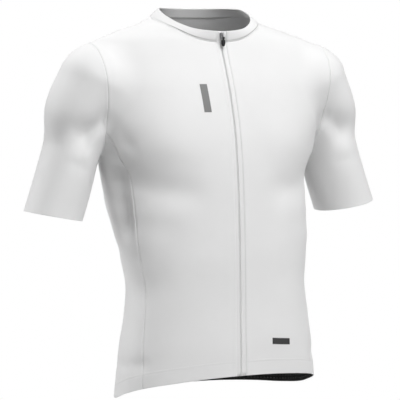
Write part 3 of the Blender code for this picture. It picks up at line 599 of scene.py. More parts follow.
def seam_shape(away):
    """A seam's edge turns in, and its allowance stands up a little beside it."""
    roll = SEAM_ROLL * np.exp(-(away / SEAM_ROLL_WIDTH)**2)
    ridge = SEAM_RIDGE * np.exp(-((away - SEAM_RIDGE_AT) / SEAM_RIDGE_WIDTH)**2)
    return ridge - roll


def hem_share(away):
    """1 over the turned hem, 0 above it."""
    return 1 - ramp(HEM_DEPTH + 0.0019, HEM_DEPTH + 0.0026, away)


def hem_shape(away):
    """The turned hem: a low step at its top, and a dip along both stitch lines."""
    shape = HEM_STEP * hem_share(away)
    for line in HEM_STITCHES:
        shape = shape - STITCH_DIP * np.exp(-((away - line) / STITCH_DIP_WIDTH)**2)
    return shape


def fold_shape(away, wall):
    """How far a free edge is rounded off, 0 to 1."""
    t = 1 - np.clip(away / (wall / 2), 0, 1)
    return 1 - np.sqrt(1 - t * t + 1e-9)


# ---------------------------------------------------------------- seams
def sample_seams():
    """The points where panels meet, shared by the pieces on both sides of a seam."""
    dense = make_seams()
    points = {}
    counts = {"neck_front": NECK_FRONT_STEPS, "neck_back": NECK_BACK_STEPS,
              "shoulder": SHOULDER_STEPS, "armhole_front": ARMHOLE_STEPS,
              "armhole_under": UNDERARM_STEPS, "armhole_back": ARMHOLE_STEPS,
              "hem_side": UNDERARM_STEPS}
    for name, count in counts.items():
        points[name] = share_out(dense[name], np.linspace(0, 1, count + 1))
    for name in ("side_front", "side_back"):
        points[name] = climb(dense[name])
    points["front_edge"] = np.concatenate([points["side_front"],
                                           points["armhole_front"][::-1][1:]])
    points["back_edge"] = np.concatenate([points["side_back"], points["armhole_back"][1:]])
    points["front_top"] = np.concatenate([points["neck_front"], points["shoulder"][1:]])
    neck_back = points["neck_back"][::-1]
    points["back_top"] = np.concatenate([mirrored(points["shoulder"][::-1]), neck_back[1:-1],
                                         points["shoulder"]])
    points["centre_front"] = share_out(dense["centre_front"],
                                       match(points["front_edge"], dense["centre_front"]))
    points["hem_front"] = share_out(dense["hem_front"], travel(points["front_top"]))
    whole_hem = np.concatenate([mirrored(dense["hem_back"]), dense["hem_back"][::-1][1:]])
    points["hem_back"] = share_out(whole_hem, travel(points["back_top"]))
    return points


def climb(curve):
    """A side seam's points: fine rows about the hem's stitches, then even steps."""
    length = length_of(curve)
    upper = np.linspace(HEM_DEPTH, length, SEAM_STEPS + 1)[1:]
    return share_out(curve, np.concatenate([[0], HEM_ROWS, upper]) / length)


def travel(points):
    """Fraction of the length at each point of a chain."""
    run = run_of(points)
    return run / run[-1]


def match(chain, curve):
    """Fractions of a curve that pair with a chain's points, with the same turned hem."""
    total = length_of(chain)
    length = length_of(curve)
    there = travel(chain) * total
    fine = 0.030
    scale = (length - fine) / (total - fine)
    here = np.where(there <= fine, there, fine + (there - fine) * scale)
    return here / length


def stretch(bottom, top, left, right):
    """A sheet between four chains of points, before it is settled: rows run bottom to top."""
    u = travel(top)[None, :, None]
    v = travel(right)[:, None, None]
    across = (1 - v) * bottom[None] + v * top[None]
    along = (1 - u) * left[:, None] + u * right[:, None]
    corners = ((1 - u) * (1 - v) * bottom[0] + u * (1 - v) * bottom[-1]
               + (1 - u) * v * top[0] + u * v * top[-1])
    return across + along - corners


def evened(grid, low, rounds):
    """A sheet's points above its hem moved towards the middle of their neighbours."""
    g = grid.copy()
    for _ in range(rounds):
        inner = (g[low - 1:-2, 1:-1] + g[low + 1:, 1:-1] + g[low:-1, :-2] + g[low:-1, 2:]) / 4
        g[low:-1, 1:-1] = inner
    return g


def settle_inside(grid, field, rounds=0):
    """Settle a sheet, leaving its four edges on their seams."""
    settled = grid.copy()
    settled[1:-1, 1:-1] = settle(grid[1:-1, 1:-1], field)
    for _ in range(2 if rounds else 0):
        settled = evened(settled, EVEN_FROM_ROW, rounds)
        settled[1:-1, 1:-1] = settle(settled[1:-1, 1:-1], field, rounds=5)
    return settled


def unit(v):
    return v / (np.linalg.norm(v, axis=-1, keepdims=True) + 1e-12)


def outward(grid, field=torso_field):
    """Unit normals of the form at a sheet's points."""
    return unit(slope_of(field, grid))


def fine_rows(grid, end, distances):
    """Rows added beside one end of a sheet, at these distances from it."""
    g = grid if end == "first" else grid[::-1]
    run = unit(g[1] - g[0])
    reach = np.linalg.norm(g[1] - g[0], axis=-1, keepdims=True)
    added = [g[0] + run * np.minimum(d, reach * (0.12 + 0.8 * k / len(distances)))
             for k, d in enumerate(distances)]
    g = np.concatenate([g[:1], added, g[1:]])
    return g if end == "first" else g[::-1]


def turned(grid):
    return np.swapaxes(grid, 0, 1)


def fine_edges(grid, bottom=(), top=(), left=(), right=()):
    """Fine rows and columns along the edges that have distances."""
    for end, distances in (("first", bottom), ("last", top)):
        if distances:
            grid = fine_rows(grid, end, distances)
    for end, distances in (("first", left), ("last", right)):
        if distances:
            grid = turned(fine_rows(turned(grid), end, distances))
    return grid


def distance_from(grid, edge):
    """Distance of every point of a sheet from one of its edges, along the sheet."""
    axis = 0 if edge in ("bottom", "top") else 1
    steps = np.linalg.norm(np.diff(grid, axis=axis), axis=-1)
    run = np.cumsum(steps, axis=axis)
    zero = np.zeros_like(np.take(run, [0], axis=axis))
    run = np.concatenate([zero, run], axis=axis)
    if edge in ("top", "right"):
        run = np.take(run, [-1], axis=axis) - run
    return run


def draw_back(grid, edges):
    """A sheet's edges moved back from their seams by half the gap."""
    g = grid.copy()
    places = {"bottom": (0, 2), "top": (-1, -3), "left": (0, 2), "right": (-1, -3)}
    for edge in edges:
        at, inner = places[edge]
        old = grid if edge in ("bottom", "top") else turned(grid)
        new = g if edge in ("bottom", "top") else turned(g)
        new[at] += unit(old[inner] - old[at]) * SEAM_GAP / 2
    return g


class Sheet:
    """A sheet of cloth: points of its outer face, normals out, and its wall at each point."""

    def __init__(self, base, normal, height, wall, closed=False):
        self.base = base
        self.normal = normal
        self.outer = base + normal * height[..., None]
        self.wall = np.broadcast_to(wall, base.shape[:2])
        self.closed = closed
        self.level_rows = None

    def flipped(self):
        """The same sheet on the wearer's other side."""
        twin = Sheet(mirrored(self.base), mirrored(self.normal), np.zeros(self.base.shape[:2]),
                     self.wall, self.closed)
        twin.outer = mirrored(self.outer)
        twin.level_rows = self.level_rows
        return twin

    def line(self, edge, away):
        """Points and normals along the outer face at a distance from an edge."""
        far = distance_from(self.base, edge)
        outer, normal = self.outer, self.normal
        if edge in ("bottom", "top"):
            far, outer, normal = far.T, turned(outer), turned(normal)
        if edge in ("top", "right"):
            far, outer, normal = far[:, ::-1], outer[:, ::-1], normal[:, ::-1]
        points = np.array([between(away, run, row) for run, row in zip(far, outer)])
        normals = np.array([between(away, run, row) for run, row in zip(far, normal)])
        return points, unit(normals)


def resettled(grid, field, edges):
    """The added rows put back on the form; the outermost stay on their seams."""
    g = grid.copy()
    g[1:-1, 1:-1] = settle(grid[1:-1, 1:-1], field, rounds=3)
    return draw_back(g, edges)


def panel(chains, hem, rounds=0):
    """A body panel between four chains of points: settled, creased, with its seams and hem."""
    field = torso_field
    grid = stretch(*chains)
    grid = fine_edges(settle_inside(grid, field, rounds), bottom=EDGE_ROWS,
                      **{edge: SEAM_ROWS for edge in BODY_SEAMS})
    grid = resettled(grid, field, BODY_SEAMS)
    normal = outward(grid, field)
    height = relief(grid)
    for edge in BODY_SEAMS:
        share = TOP_SEAM_SHARE if edge == "top" else 1.0
        height = height + share * seam_shape(distance_from(grid, edge))
    low = distance_from(grid, "bottom")
    height = height + hem_shape(low)
    thick = CLOTH + (hem - CLOTH) * hem_share(low)
    fold = fold_shape(low, hem)
    made = Sheet(grid, normal, height - fold * hem / 2, thick * (1 - FOLD_SHARE * fold))
    made.level_rows = SEAM_STEPS
    return made


def front_sheet(points):
    """The wearer's left front: column 0 is at the zip, row 0 the hem."""
    names = ("hem_front", "front_top", "centre_front", "front_edge")
    return panel([points[name] for name in names], HEM_CLOTH, EVEN_ROUNDS)


def back_sheet(points):
    """The back, from the wearer's right to left."""
    return panel([points["hem_back"], points["back_top"], mirrored(points["back_edge"]),
                  points["back_edge"]], CLOTH, EVEN_ROUNDS)


def side_sheet(points):
    """The left side panel, from its front seam to its back seam."""
    names = ("hem_side", "armhole_under", "side_front", "side_back")
    return panel([points[name] for name in names], CLOTH)


def cuff_ring(fractions):
    """The cuff's edge, in step with the armhole's points."""
    outer = np.array(CUFF_OUTER)
    inner = np.array(CUFF_INNER)
    middle = (outer + inner) / 2
    half = (outer - inner) / 2
    turn = 2 * math.pi * fractions
    flat = middle + np.cos(turn)[:, None] * half
    y = arm("y", 1.0) - arm("half_depth", 1.0) * np.sin(turn)
    y = y - SLEEVE_TURN * (flat[:, 0] - middle[0])
    ring = np.stack([flat[:, 0], y, flat[:, 1]], -1)
    return settle(ring, arm_gap, rounds=6)


def sleeve_field(share):
    """Distance from the whole form at share 0, from the arm alone at share 1."""
    return lambda p: form_gap(p) * (1 - share) + arm_gap(p) * share


def sleeve_sheet(points):
    """The left sleeve: row 0 is the armhole, the columns run round it and close."""
    hole = np.concatenate([points["armhole_front"], points["armhole_under"][1:],
                           points["armhole_back"][1:-1]])
    closed = np.concatenate([hole, hole[:1]])
    cuff = cuff_ring(travel(closed)[:-1])
    length = np.linalg.norm(cuff - hole, axis=1).mean()
    steps = np.linspace(0, 1, SLEEVE_STEPS + 1)
    seam = np.array(SEAM_ROWS) / length
    edge = 1 - np.array(EDGE_ROWS)[::-1] / length
    fractions = np.concatenate([[0], seam, steps[1:-1], edge, [1]])
    rows = []
    normals = []
    for t in fractions:
        field = sleeve_field(ramp(0.0, SLEEVE_OWN, t))
        row = hole * (1 - t) + cuff * t
        if 0 < t < 1:
            row = settle(row, field)
        rows.append(row)
        normals.append(unit(slope_of(field, row)))
    grid = draw_back(np.array(rows), ("bottom",))
    normal = np.array(normals)
    from_seam = distance_from(grid, "bottom")
    height = relief(grid) + seam_shape(from_seam) + under_seam(grid)
    fold = fold_shape(distance_from(grid, "top"), CLOTH)
    return Sheet(grid, normal, height - fold * CLOTH / 2, CLOTH * (1 - FOLD_SHARE * fold), closed=True)


UNDER_DIP = 0.0004        # the seam along the sleeve's underside
UNDER_DIP_WIDTH = 0.0022


def under_seam(grid):
    """The sleeve's own seam, along its underside."""
    middle = ARMHOLE_STEPS + UNDERARM_STEPS // 2
    away = np.linalg.norm(grid - grid[:, middle:middle + 1], axis=-1)
    return -UNDER_DIP * np.exp(-(away / UNDER_DIP_WIDTH)**2)


def collar_sheet(points):
    """Base, rim and outward direction of the collar, from the left zip edge to the right one."""
    base = np.concatenate([points["neck_front"], points["neck_back"][1:-1],
                           mirrored(points["neck_front"][::-1])])
    zip_turn = math.asin(ZIP_HALF / RIM_HALF_WIDTH)
    dense = rim_guide(np.linspace(zip_turn, 2 * math.pi - zip_turn, 4 * DENSE))
    rim = share_out(dense, travel(base))
    return base, rim


COLLAR_FOOT = (SEAM_GAP, 0.0004, 0.0009, 0.0016, 0.0026)     # rows above the neck seam
COLLAR_SHARES = np.linspace(0.16, 1.0, 9)
COLLAR_FOLD_STEPS = 8
COLLAR_ROLL = 0.3         # of the roll that the panels' seams have


def collar_mesh(points):
    """The collar: a doubled band with a rounded upper fold, as one closed strip."""
    base, rim = collar_sheet(points)
    up = unit(rim - base)
    tall = np.linalg.norm(rim - base, axis=1)
    along = unit(np.gradient(base, axis=0))
    out = unit(np.cross(along, up))
    away = base - np.array([0.0, NECK_MIDDLE_Y, 0.0])
    out = out * np.sign((out * away).sum(-1).mean())
    wall = COLLAR_CLOTH
    rings = []
    for s in COLLAR_FOOT:
        q = -COLLAR_ROLL * SEAM_ROLL * math.exp(-(s / SEAM_ROLL_WIDTH)**2)
        rings.append(base + up * s + out * q)
    for share in COLLAR_SHARES:
        s = share * (tall - wall / 2)[:, None]
        q = COLLAR_SWELL * math.sin(math.pi * share)
        rings.append(base + up * s + out * q)
    for turn in np.linspace(0, math.pi, COLLAR_FOLD_STEPS)[1:-1]:
        s = (tall - wall / 2)[:, None] + wall / 2 * math.sin(turn)
        q = -wall / 2 + wall / 2 * math.cos(turn)
        rings.append(base + up * s + out * q)
    for share in COLLAR_SHARES[::-1]:
        s = share * (tall - wall / 2)[:, None]
        rings.append(base + up * s - out * wall)
    rings.append(base + up * SEAM_GAP - out * wall)
    return np.array(rings), out, base, rim


TAPE_TOP_STEPS = 9        # rows between the neck seam and the collar's rim


def tape_rows(points):
    """Heights and depths of the zip's centre line, hem to rim."""
    inner = points["centre_front"].copy()
    inner[:, 0] = 0.0
    inner = settle_level(inner)
    inner[0, 2] = inner[1, 2] - (inner[2, 2] - inner[1, 2])
    top = rim_guide(np.array([0.0]))[0]
    t = np.linspace(0, 1, TAPE_TOP_STEPS)[1:, None]
    return np.concatenate([inner, inner[-1] * (1 - t) + top * t])


TAPE_BACK = 0.0009        # the tape lies this far behind the fronts' outer face
TAPE_HALF = 0.0112        # centre line to its edge, which is under the front
TAPE_COLUMNS = np.array([0.0001, 0.0006, 0.0012, 0.0018, 0.0024, 0.0040, 0.0060, 0.0080, TAPE_HALF])
TAPE_BEAD = 0.0005        # the tape's inner edge is a raised bead
TAPE_BEAD_AT = 0.0010
TAPE_BEAD_WIDTH = 0.0009


def tape_sheet(points):
    """The left half of the zip tape: column 0 is at the centre line, row 0 the hem."""
    centre = tape_rows(points)
    grid = np.repeat(centre[:, None], len(TAPE_COLUMNS), axis=1)
    grid[..., 0] = TAPE_COLUMNS
    body_rows = len(points["centre_front"])
    grid[:body_rows] = settle_level(grid[:body_rows])
    normal = np.zeros_like(grid)
    normal[..., 1] = -1
    rise = TAPE_BEAD * np.exp(-((TAPE_COLUMNS - TAPE_BEAD_AT) / TAPE_BEAD_WIDTH)**2)
    height = np.broadcast_to(rise - TAPE_BACK, grid.shape[:2])
    return Sheet(grid, normal, height, TAPE_CLOTH)


TRIM_SIZE = (25, 11)      # rows and columns
TRIM_EDGE = (0.0002, 0.0005)
TRIM_OUT = 0.00045        # its outer face stands this far off the front
TRIM_ROUNDING = 0.00015


def trim_sheet(centre_x, centre_z, wide, tall, lean, tilt):
    """A flat trim on a front panel."""
    columns = np.linspace(-wide / 2, wide / 2, TRIM_SIZE[1])
    rows = np.linspace(-tall / 2, tall / 2, TRIM_SIZE[0])
    grid = np.zeros((len(rows), len(columns), 3))
    grid[..., 0] = centre_x + columns[None, :] - lean * rows[:, None]
    grid[..., 2] = centre_z + rows[:, None] - tilt * columns[None, :]
    grid[..., 1] = body("front_y", grid[..., 2])
    grid = settle_level(grid)
    grid = fine_edges(grid, *[TRIM_EDGE] * 4)
    edge = np.min([distance_from(grid, name) for name in ("bottom", "top", "left", "right")], axis=0)
    round_off = TRIM_ROUNDING * (1 - np.clip(edge / TRIM_EDGE[1], 0, 1))**2
    return Sheet(grid, outward(grid), relief(grid) + TRIM_OUT - round_off, FLAT_CLOTH)


GRIPPER_RISE = (0.0008, HEM_DEPTH - 0.0006)       # lower and upper edge above the hem
GRIPPER_ROWS = 9
GRIPPER_ROUNDS = 6
GRIPPER_GAP = 0.0003


def gripper_sheet(points):
    """The black band inside the hem of the sides and the back."""
    left = points["hem_side"][::-1][1:]
    right = mirrored(points["hem_side"])[:-1]
    low = np.concatenate([right, points["hem_back"], left])
    rows = []
    for rise in np.linspace(*GRIPPER_RISE, GRIPPER_ROWS):
        row = low.copy()
        row[:, 2] += rise
        rows.append(settle(row, torso_field, rounds=GRIPPER_ROUNDS))
    grid = np.array(rows)
    return Sheet(grid, outward(grid), relief(grid) - CLOTH - GRIPPER_GAP, TRIM_CLOTH)


# ---------------------------------------------------------------- the pocket panel
POCKET_GAPE = (0.0050, 0.0066, 0.0046)   # how far each mouth stands off the back, from the right
POCKET_BAND = 0.011       # the elastic band along the mouths
POCKET_BAND_OUT = 0.0005
POCKET_BAND_EDGE = 0.0012
POCKET_FOOT = 0.0035      # lower edge above the turned hem
POCKET_DIVISIONS = 28     # the back's height in steps: the mouths are two below POCKET_TOP
POCKET_LIFT = 0.0009      # off the back where it is sewn down
POCKET_LOW_GAPE = 0.12    # the share of the gape at the foot
POCKET_ROUND = 1.3        # higher makes the mouths more pointed
POCKET_VALLEY = 0.0004    # the dip along the seams between compartments
POCKET_VALLEY_WIDTH = 0.0016


def pocket_sheet(points, back):
    """One panel sewn into three compartments, with the mouths gaping a little."""
    low = distance_from(back.base, "bottom")
    edge = low[:, 0]
    length = length_of(points["side_back"])
    top = HEM_DEPTH + POCKET_TOP * (length - HEM_DEPTH) - 2 * (length - HEM_DEPTH) / POCKET_DIVISIONS
    rows = np.where((edge >= HEM_DEPTH + POCKET_FOOT) & (edge <= top))[0]
    from_side = distance_from(back.base, "left")[-1]
    shoulder = length_of(points["shoulder"])
    margin = shoulder * POCKET_SIDE
    total = from_side[-1]
    columns = np.where((from_side >= margin) & (from_side <= total - margin))[0]
    base = back.outer[rows][:, columns]
    normal = back.normal[rows][:, columns]
    u = np.linspace(0, 1, len(columns))
    v = np.linspace(0, 1, len(rows))[:, None]
    count = len(POCKET_GAPE)
    place = u * count
    which = np.minimum(place.astype(int), count - 1)
    inside = np.sin(math.pi * (place - which))
    gape = np.array(POCKET_GAPE)[which] * inside**POCKET_ROUND
    rise = POCKET_LOW_GAPE + (1 - POCKET_LOW_GAPE) * v**3.0
    lift = POCKET_LIFT + gape * rise * ramp(0.0, 0.12, v)
    near = np.abs(place - np.round(place)) / count * length_of(base[0])
    valley = POCKET_VALLEY * np.exp(-(near / POCKET_VALLEY_WIDTH)**2)
    grid = fine_edges(base, *[EDGE_ROWS[:3]] * 4)
    lift = fine_scalar(lift - valley)
    normal = fine_vector(normal)
    above = ramp(POCKET_BAND, POCKET_BAND + POCKET_BAND_EDGE, distance_from(grid, "top"))
    band = POCKET_BAND_OUT * (1 - above)
    return Sheet(grid, unit(normal), lift + band, TRIM_CLOTH)


def fine_scalar(values):
    """Values at a sheet's points, repeated for the three fine rows along each edge."""
    return np.pad(values, 3, mode="edge")


def fine_vector(values):
    return np.pad(values, ((3, 3), (3, 3), (0, 0)), mode="edge")


# ---------------------------------------------------------------- meshes
def add_piece(name, vertices, faces, mat, uvs=None, body_name="jersey"):
    """A mesh that belongs to the object and moves with one body."""
    mesh = bpy.data.meshes.new(name)
    mesh.from_pydata(np.asarray(vertices).tolist(), [], faces)
    mesh.materials.append(mat)
    mesh.shade_smooth()
    if uvs is not None:
        layer = mesh.uv_layers.new(name="Cloth")
        loops = np.zeros(len(mesh.loops), int)
        mesh.loops.foreach_get("vertex_index", loops)
        layer.data.foreach_set("uv", np.asarray(uvs)[loops].astype(np.float32).ravel())
    piece = bpy.data.objects.new(name, mesh)
    bpy.context.scene.collection.objects.link(piece)
    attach(piece, body_name)
    return piece


def sheet_faces(rows, columns, closed, start=0, back=False, looped=False):
    """Faces between rows of points; closed joins the last column to the first, looped the rows."""
    faces = []
    for r in range(rows if looped else rows - 1):
        low = start + r * columns
        high = start + (r + 1) % rows * columns
        for c in range(columns if closed else columns - 1):
            d = (c + 1) % columns
            face = (low + c, low + d, high + d, high + c)
            faces.append(face[::-1] if back else face)
    return faces


def rim_faces(rows, columns, closed):
    """Faces that close the wall along a sheet's free edges."""
    size = rows * columns
    if closed:
        loops = [[c for c in range(columns)] + [0],
                 [(rows - 1) * columns + c for c in range(columns)][::-1] + [rows * columns - 1]]
    else:
        low = [c for c in range(columns)]
        right = [r * columns + columns - 1 for r in range(rows)]
        high = [(rows - 1) * columns + c for c in range(columns)][::-1]
        left = [r * columns for r in range(rows)][::-1]
        loops = [low + right[1:] + high[1:] + left[1:]]
    faces = []
    for loop in loops:
        for a, b in zip(loop[:-1], loop[1:]):
            faces.append((b, a, a + size, b + size))
    return faces


def cloth(name, sheet, mat):
    """A sheet with its wall, as one closed piece that stands for the solid of its name."""
    outer = sheet.outer
    inner = outer - sheet.normal * sheet.wall[..., None]
    rows, columns = outer.shape[:2]
    faces = sheet_faces(rows, columns, sheet.closed)
    middle = outer[:-1, :-1]
    cross = np.cross(outer[:-1, 1:] - middle, outer[1:, :-1] - middle)
    wrong = (cross * sheet.normal[:-1, :-1]).sum() < 0
    faces = faces + sheet_faces(rows, columns, sheet.closed, rows * columns, back=True)
    faces = faces + rim_faces(rows, columns, sheet.closed)
    if wrong:
        faces = [face[::-1] for face in faces]
    u = distance_from(sheet.base, "left")
    v = distance_from(sheet.base, "bottom")
    uv = np.stack([u - u.mean(), v], -1).reshape(-1, 2)
    vertices = np.concatenate([outer.reshape(-1, 3), inner.reshape(-1, 3)])
    piece = add_piece(name + "_cloth", vertices, faces, mat, np.concatenate([uv, uv]))
    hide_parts(name)
    declare(outer - sheet.normal * sheet.wall[..., None] / 2, sheet.closed,
            sheet.level_rows)
    return piece


def declare(middle, closed, level_rows=None):
    """Works out how large the cloth was cut, its width taken where its rows lie level; the sizes are not
    passed on.
    """
    grid = np.concatenate([middle, middle[:, :1]], 1) if closed else middle
    across = np.linalg.norm(np.diff(grid, axis=1), axis=-1).sum(1)
    upwards = np.linalg.norm(np.diff(grid, axis=0), axis=-1).sum(0)
    one = np.cross(grid[:-1, 1:] - grid[:-1, :-1], grid[1:, :-1] - grid[:-1, :-1])
    two = np.cross(grid[1:, :-1] - grid[1:, 1:], grid[:-1, 1:] - grid[1:, 1:])
    area = (np.linalg.norm(one, axis=-1) + np.linalg.norm(two, axis=-1)).sum() / 2
    wide, tall = across[:level_rows].max(), upwards.max()
    area = min(area, wide * tall)


# ---------------------------------------------------------------- stitches
GRAIN_REACH = 0.0006      # a grain's direction is read this far to both sides of it
GRAIN_OUT = 0.0001        # coils and dots stand this far off their line
COIL_SIZES = (0.0012, 0.0017, 0.00058)     # pitch, length and radius of the zip's coils
COIL_X = 0.00085
COIL_STAGGER = 0.0007
DOT_SIZES = (0.006, 0.0026, 0.0010)        # and of the gripper's dots
DOT_ROWS = (2, 4, 6)
BESIDE_SEAM = 0.0021      # a seam's stitches from its edge
BESIDE_ZIP = 0.0016
POCKET_STITCH = 0.0018    # from the pocket panel's sewn edges
MOUTH_STITCHES = (0.0015, POCKET_BAND - 0.001)
SEAM_THREAD = 0.00018


def grains(line, normals, pitch, length, radius, turn=False):
    """Small thread-like grains along a line: vertices and faces."""
    run = run_of(line)
    count = max(1, int(run[-1] / pitch))
    places = (np.arange(count) + 0.5) * run[-1] / count
    centre = between(places, run, line)
    normal = unit(between(places, run, normals))
    tangent = unit(between(places + GRAIN_REACH, run, line) - between(places - GRAIN_REACH, run, line))
    side = unit(np.cross(normal, tangent))
    if turn:
        tangent, side = side, tangent
    template = []
    for s in (-0.32, 0.32):
        for angle in (0.25, 0.75, 1.25, 1.75):
            template.append((s * length, math.cos(math.pi * angle) * radius,
                             math.sin(math.pi * angle) * radius))
    template = [(-0.5 * length, 0, 0)] + template + [(0.5 * length, 0, 0)]
    points = centre[:, None] + sum(axis[:, None] * np.array(sizes)[None, :, None]
                                   for axis, sizes in zip((tangent, side, normal), zip(*template)))
    faces = []
    for k in range(count):
        o = 10 * k
        for j in range(4):
            m = (j + 1) % 4
            faces.append((o, o + 1 + m, o + 1 + j))
            faces.append((o + 1 + j, o + 1 + m, o + 5 + m, o + 5 + j))
            faces.append((o + 9, o + 5 + j, o + 5 + m))
    return points.reshape(-1, 3), faces


def join_grains(sets):
    vertices, faces = [], []
    start = 0
    for points, some in sets:
        vertices.append(points)
        faces.extend([tuple(i + start for i in face) for face in some])
        start += len(points)
    return np.concatenate(vertices), faces


def thread(name, lines, mat, pitch=0.0031, length=0.0025, radius=0.00022, turn=False):
    """One joined mesh of stitches along several lines."""
    sets = [grains(points + normals * radius * 0.3, normals, pitch, length, radius, turn)
            for points, normals in lines]
    vertices, faces = join_grains(sets)
    return add_piece(name, vertices, faces, mat)


# ---------------------------------------------------------------- materials
def shader_material(name, colour, roughness, metallic=0.0):
    """A Principled material, with its nodes and links ready to add to."""
    mat = bpy.data.materials.new(name)
    mat.use_nodes = True
    nodes = mat.node_tree.nodes
    shader = nodes["Principled BSDF"]
    shader.inputs["Base Color"].default_value = (*colour, 1.0)
    shader.inputs["Roughness"].default_value = roughness
    shader.inputs["Metallic"].default_value = metallic
    return mat, nodes, mat.node_tree.links, shader


def wire(links, source, output, target, entry):
    links.new(source.outputs[output], target.inputs[entry])


def node(nodes, kind, **inputs):
    made = nodes.new(kind)
    for name, value in inputs.items():
        made.inputs[name.replace("_", " ")].default_value = value
    return made


def knit_material(name, colour, wale=0.0009, course=0.0011, strength=0.18, sheen=0.25, mottle=0.02):
    """Matte warp knit: fine wales and courses as bump, and a little unevenness in its colour."""
    mat, nodes, links, shader = shader_material(name, colour, 0.82)
    shader.inputs["Sheen Weight"].default_value = sheen
    shader.inputs["Sheen Roughness"].default_value = 0.45
    shader.inputs["Specular IOR Level"].default_value = 0.25
    uv = nodes.new("ShaderNodeUVMap")
    uv.uv_map = "Cloth"
    period = 2 * math.pi / 20
    wales = node(nodes, "ShaderNodeTexWave", Scale=period / wale, Distortion=0.0)
    wales.bands_direction = "X"
    courses = node(nodes, "ShaderNodeTexWave", Scale=period / course, Distortion=0.0)
    courses.bands_direction = "Y"
    wire(links, uv, "UV", wales, "Vector")
    wire(links, uv, "UV", courses, "Vector")
    weave = nodes.new("ShaderNodeMath")
    weave.operation = "MULTIPLY"
    wire(links, wales, "Fac", weave, 0)
    wire(links, courses, "Fac", weave, 1)
    place = nodes.new("ShaderNodeTexCoord")
    nap = node(nodes, "ShaderNodeTexNoise", Scale=900.0, Detail=2.0)
    wire(links, place, "Object", nap, "Vector")
    height = nodes.new("ShaderNodeMath")
    height.operation = "ADD"
    wire(links, weave, "Value", height, 0)
    wire(links, nap, "Fac", height, 1)
    bump = node(nodes, "ShaderNodeBump", Strength=strength, Distance=0.0002)
    wire(links, height, "Value", bump, "Height")
    wire(links, bump, "Normal", shader, "Normal")
    patches = node(nodes, "ShaderNodeTexNoise", Scale=9.0, Detail=3.0)
    wire(links, place, "Object", patches, "Vector")
    tint = nodes.new("ShaderNodeValToRGB")
    for element, position, change in zip(tint.color_ramp.elements, (0.3, 0.7), (-mottle, mottle)):
        element.position = position
        element.color = (*[min(1.0, c * (1 + change)) for c in colour], 1.0)
    wire(links, patches, "Fac", tint, "Fac")
    wire(links, tint, "Color", shader, "Base Color")
    return mat


def grained_material(name, colour, roughness, metallic=0.0, scale=1500.0, strength=0.1, vary=0.06):
    """Rubber, metal, thread or coil: fine grain, and a slight change of roughness."""
    mat, nodes, links, shader = shader_material(name, colour, roughness, metallic)
    place = nodes.new("ShaderNodeTexCoord")
    grain = node(nodes, "ShaderNodeTexNoise", Scale=scale, Detail=2.0)
    wire(links, place, "Object", grain, "Vector")
    bump = node(nodes, "ShaderNodeBump", Strength=strength, Distance=0.0001)
    wire(links, grain, "Fac", bump, "Height")
    wire(links, bump, "Normal", shader, "Normal")
    rough = node(nodes, "ShaderNodeMapRange")
    rough.inputs["To Min"].default_value = max(0.02, roughness - vary)
    rough.inputs["To Max"].default_value = min(1.0, roughness + vary)
    wire(links, grain, "Fac", rough, "Value")
    wire(links, rough, "Result", shader, "Roughness")
    return mat


# ---------------------------------------------------------------- zip hardware
def outline_block(name, outline, front_y, back_y, mat, bevel, segments, body_name="jersey"):
    """A plate cut to an outline in x and z, with rounded edges."""
    count = len(outline)
    vertices = [(x, front_y, z) for x, z in outline] + [(x, back_y, z) for x, z in outline]
    faces = [tuple(range(count)), tuple(range(2 * count - 1, count - 1, -1))]
    for k in range(count):
        m = (k + 1) % count
        faces.append((k, k + count, m + count, m))
    piece = add_piece(name, vertices, faces, mat, body_name=body_name)
    rounded = piece.modifiers.new("Rounded", "BEVEL")
    rounded.width = bevel
    rounded.segments = segments
    rounded.limit_method = "ANGLE"
    rounded.angle_limit = math.radians(30)
    return piece


def ring_outline(count):
    """Points of a unit circle."""
    turn = np.linspace(0, 2 * math.pi, count, endpoint=False)
    return [(math.cos(a), math.sin(a)) for a in turn]


def rod_mesh(radius, half, place, count=24):
    """Points and faces of a rod along X with rounded ends."""
    rings = []
    for x, r in ((-half, radius * 0.7), (-half + radius * 0.3, radius), (half - radius * 0.3, radius),
                 (half, radius * 0.7)):
        rings.append([(place[0] + x, place[1] + b * r, place[2] + c * r)
                      for b, c in ring_outline(count)])
    vertices = [p for ring in rings for p in ring]
    faces = sheet_faces(len(rings), count, True)
    faces.append(tuple(range(count))[::-1])
    faces.append(tuple(range(3 * count, 4 * count)))
    return vertices, faces


def mirror_outline(half):
    """A closed outline from its right half, top to bottom."""
    return half + [(-x, z) for x, z in half[::-1]]


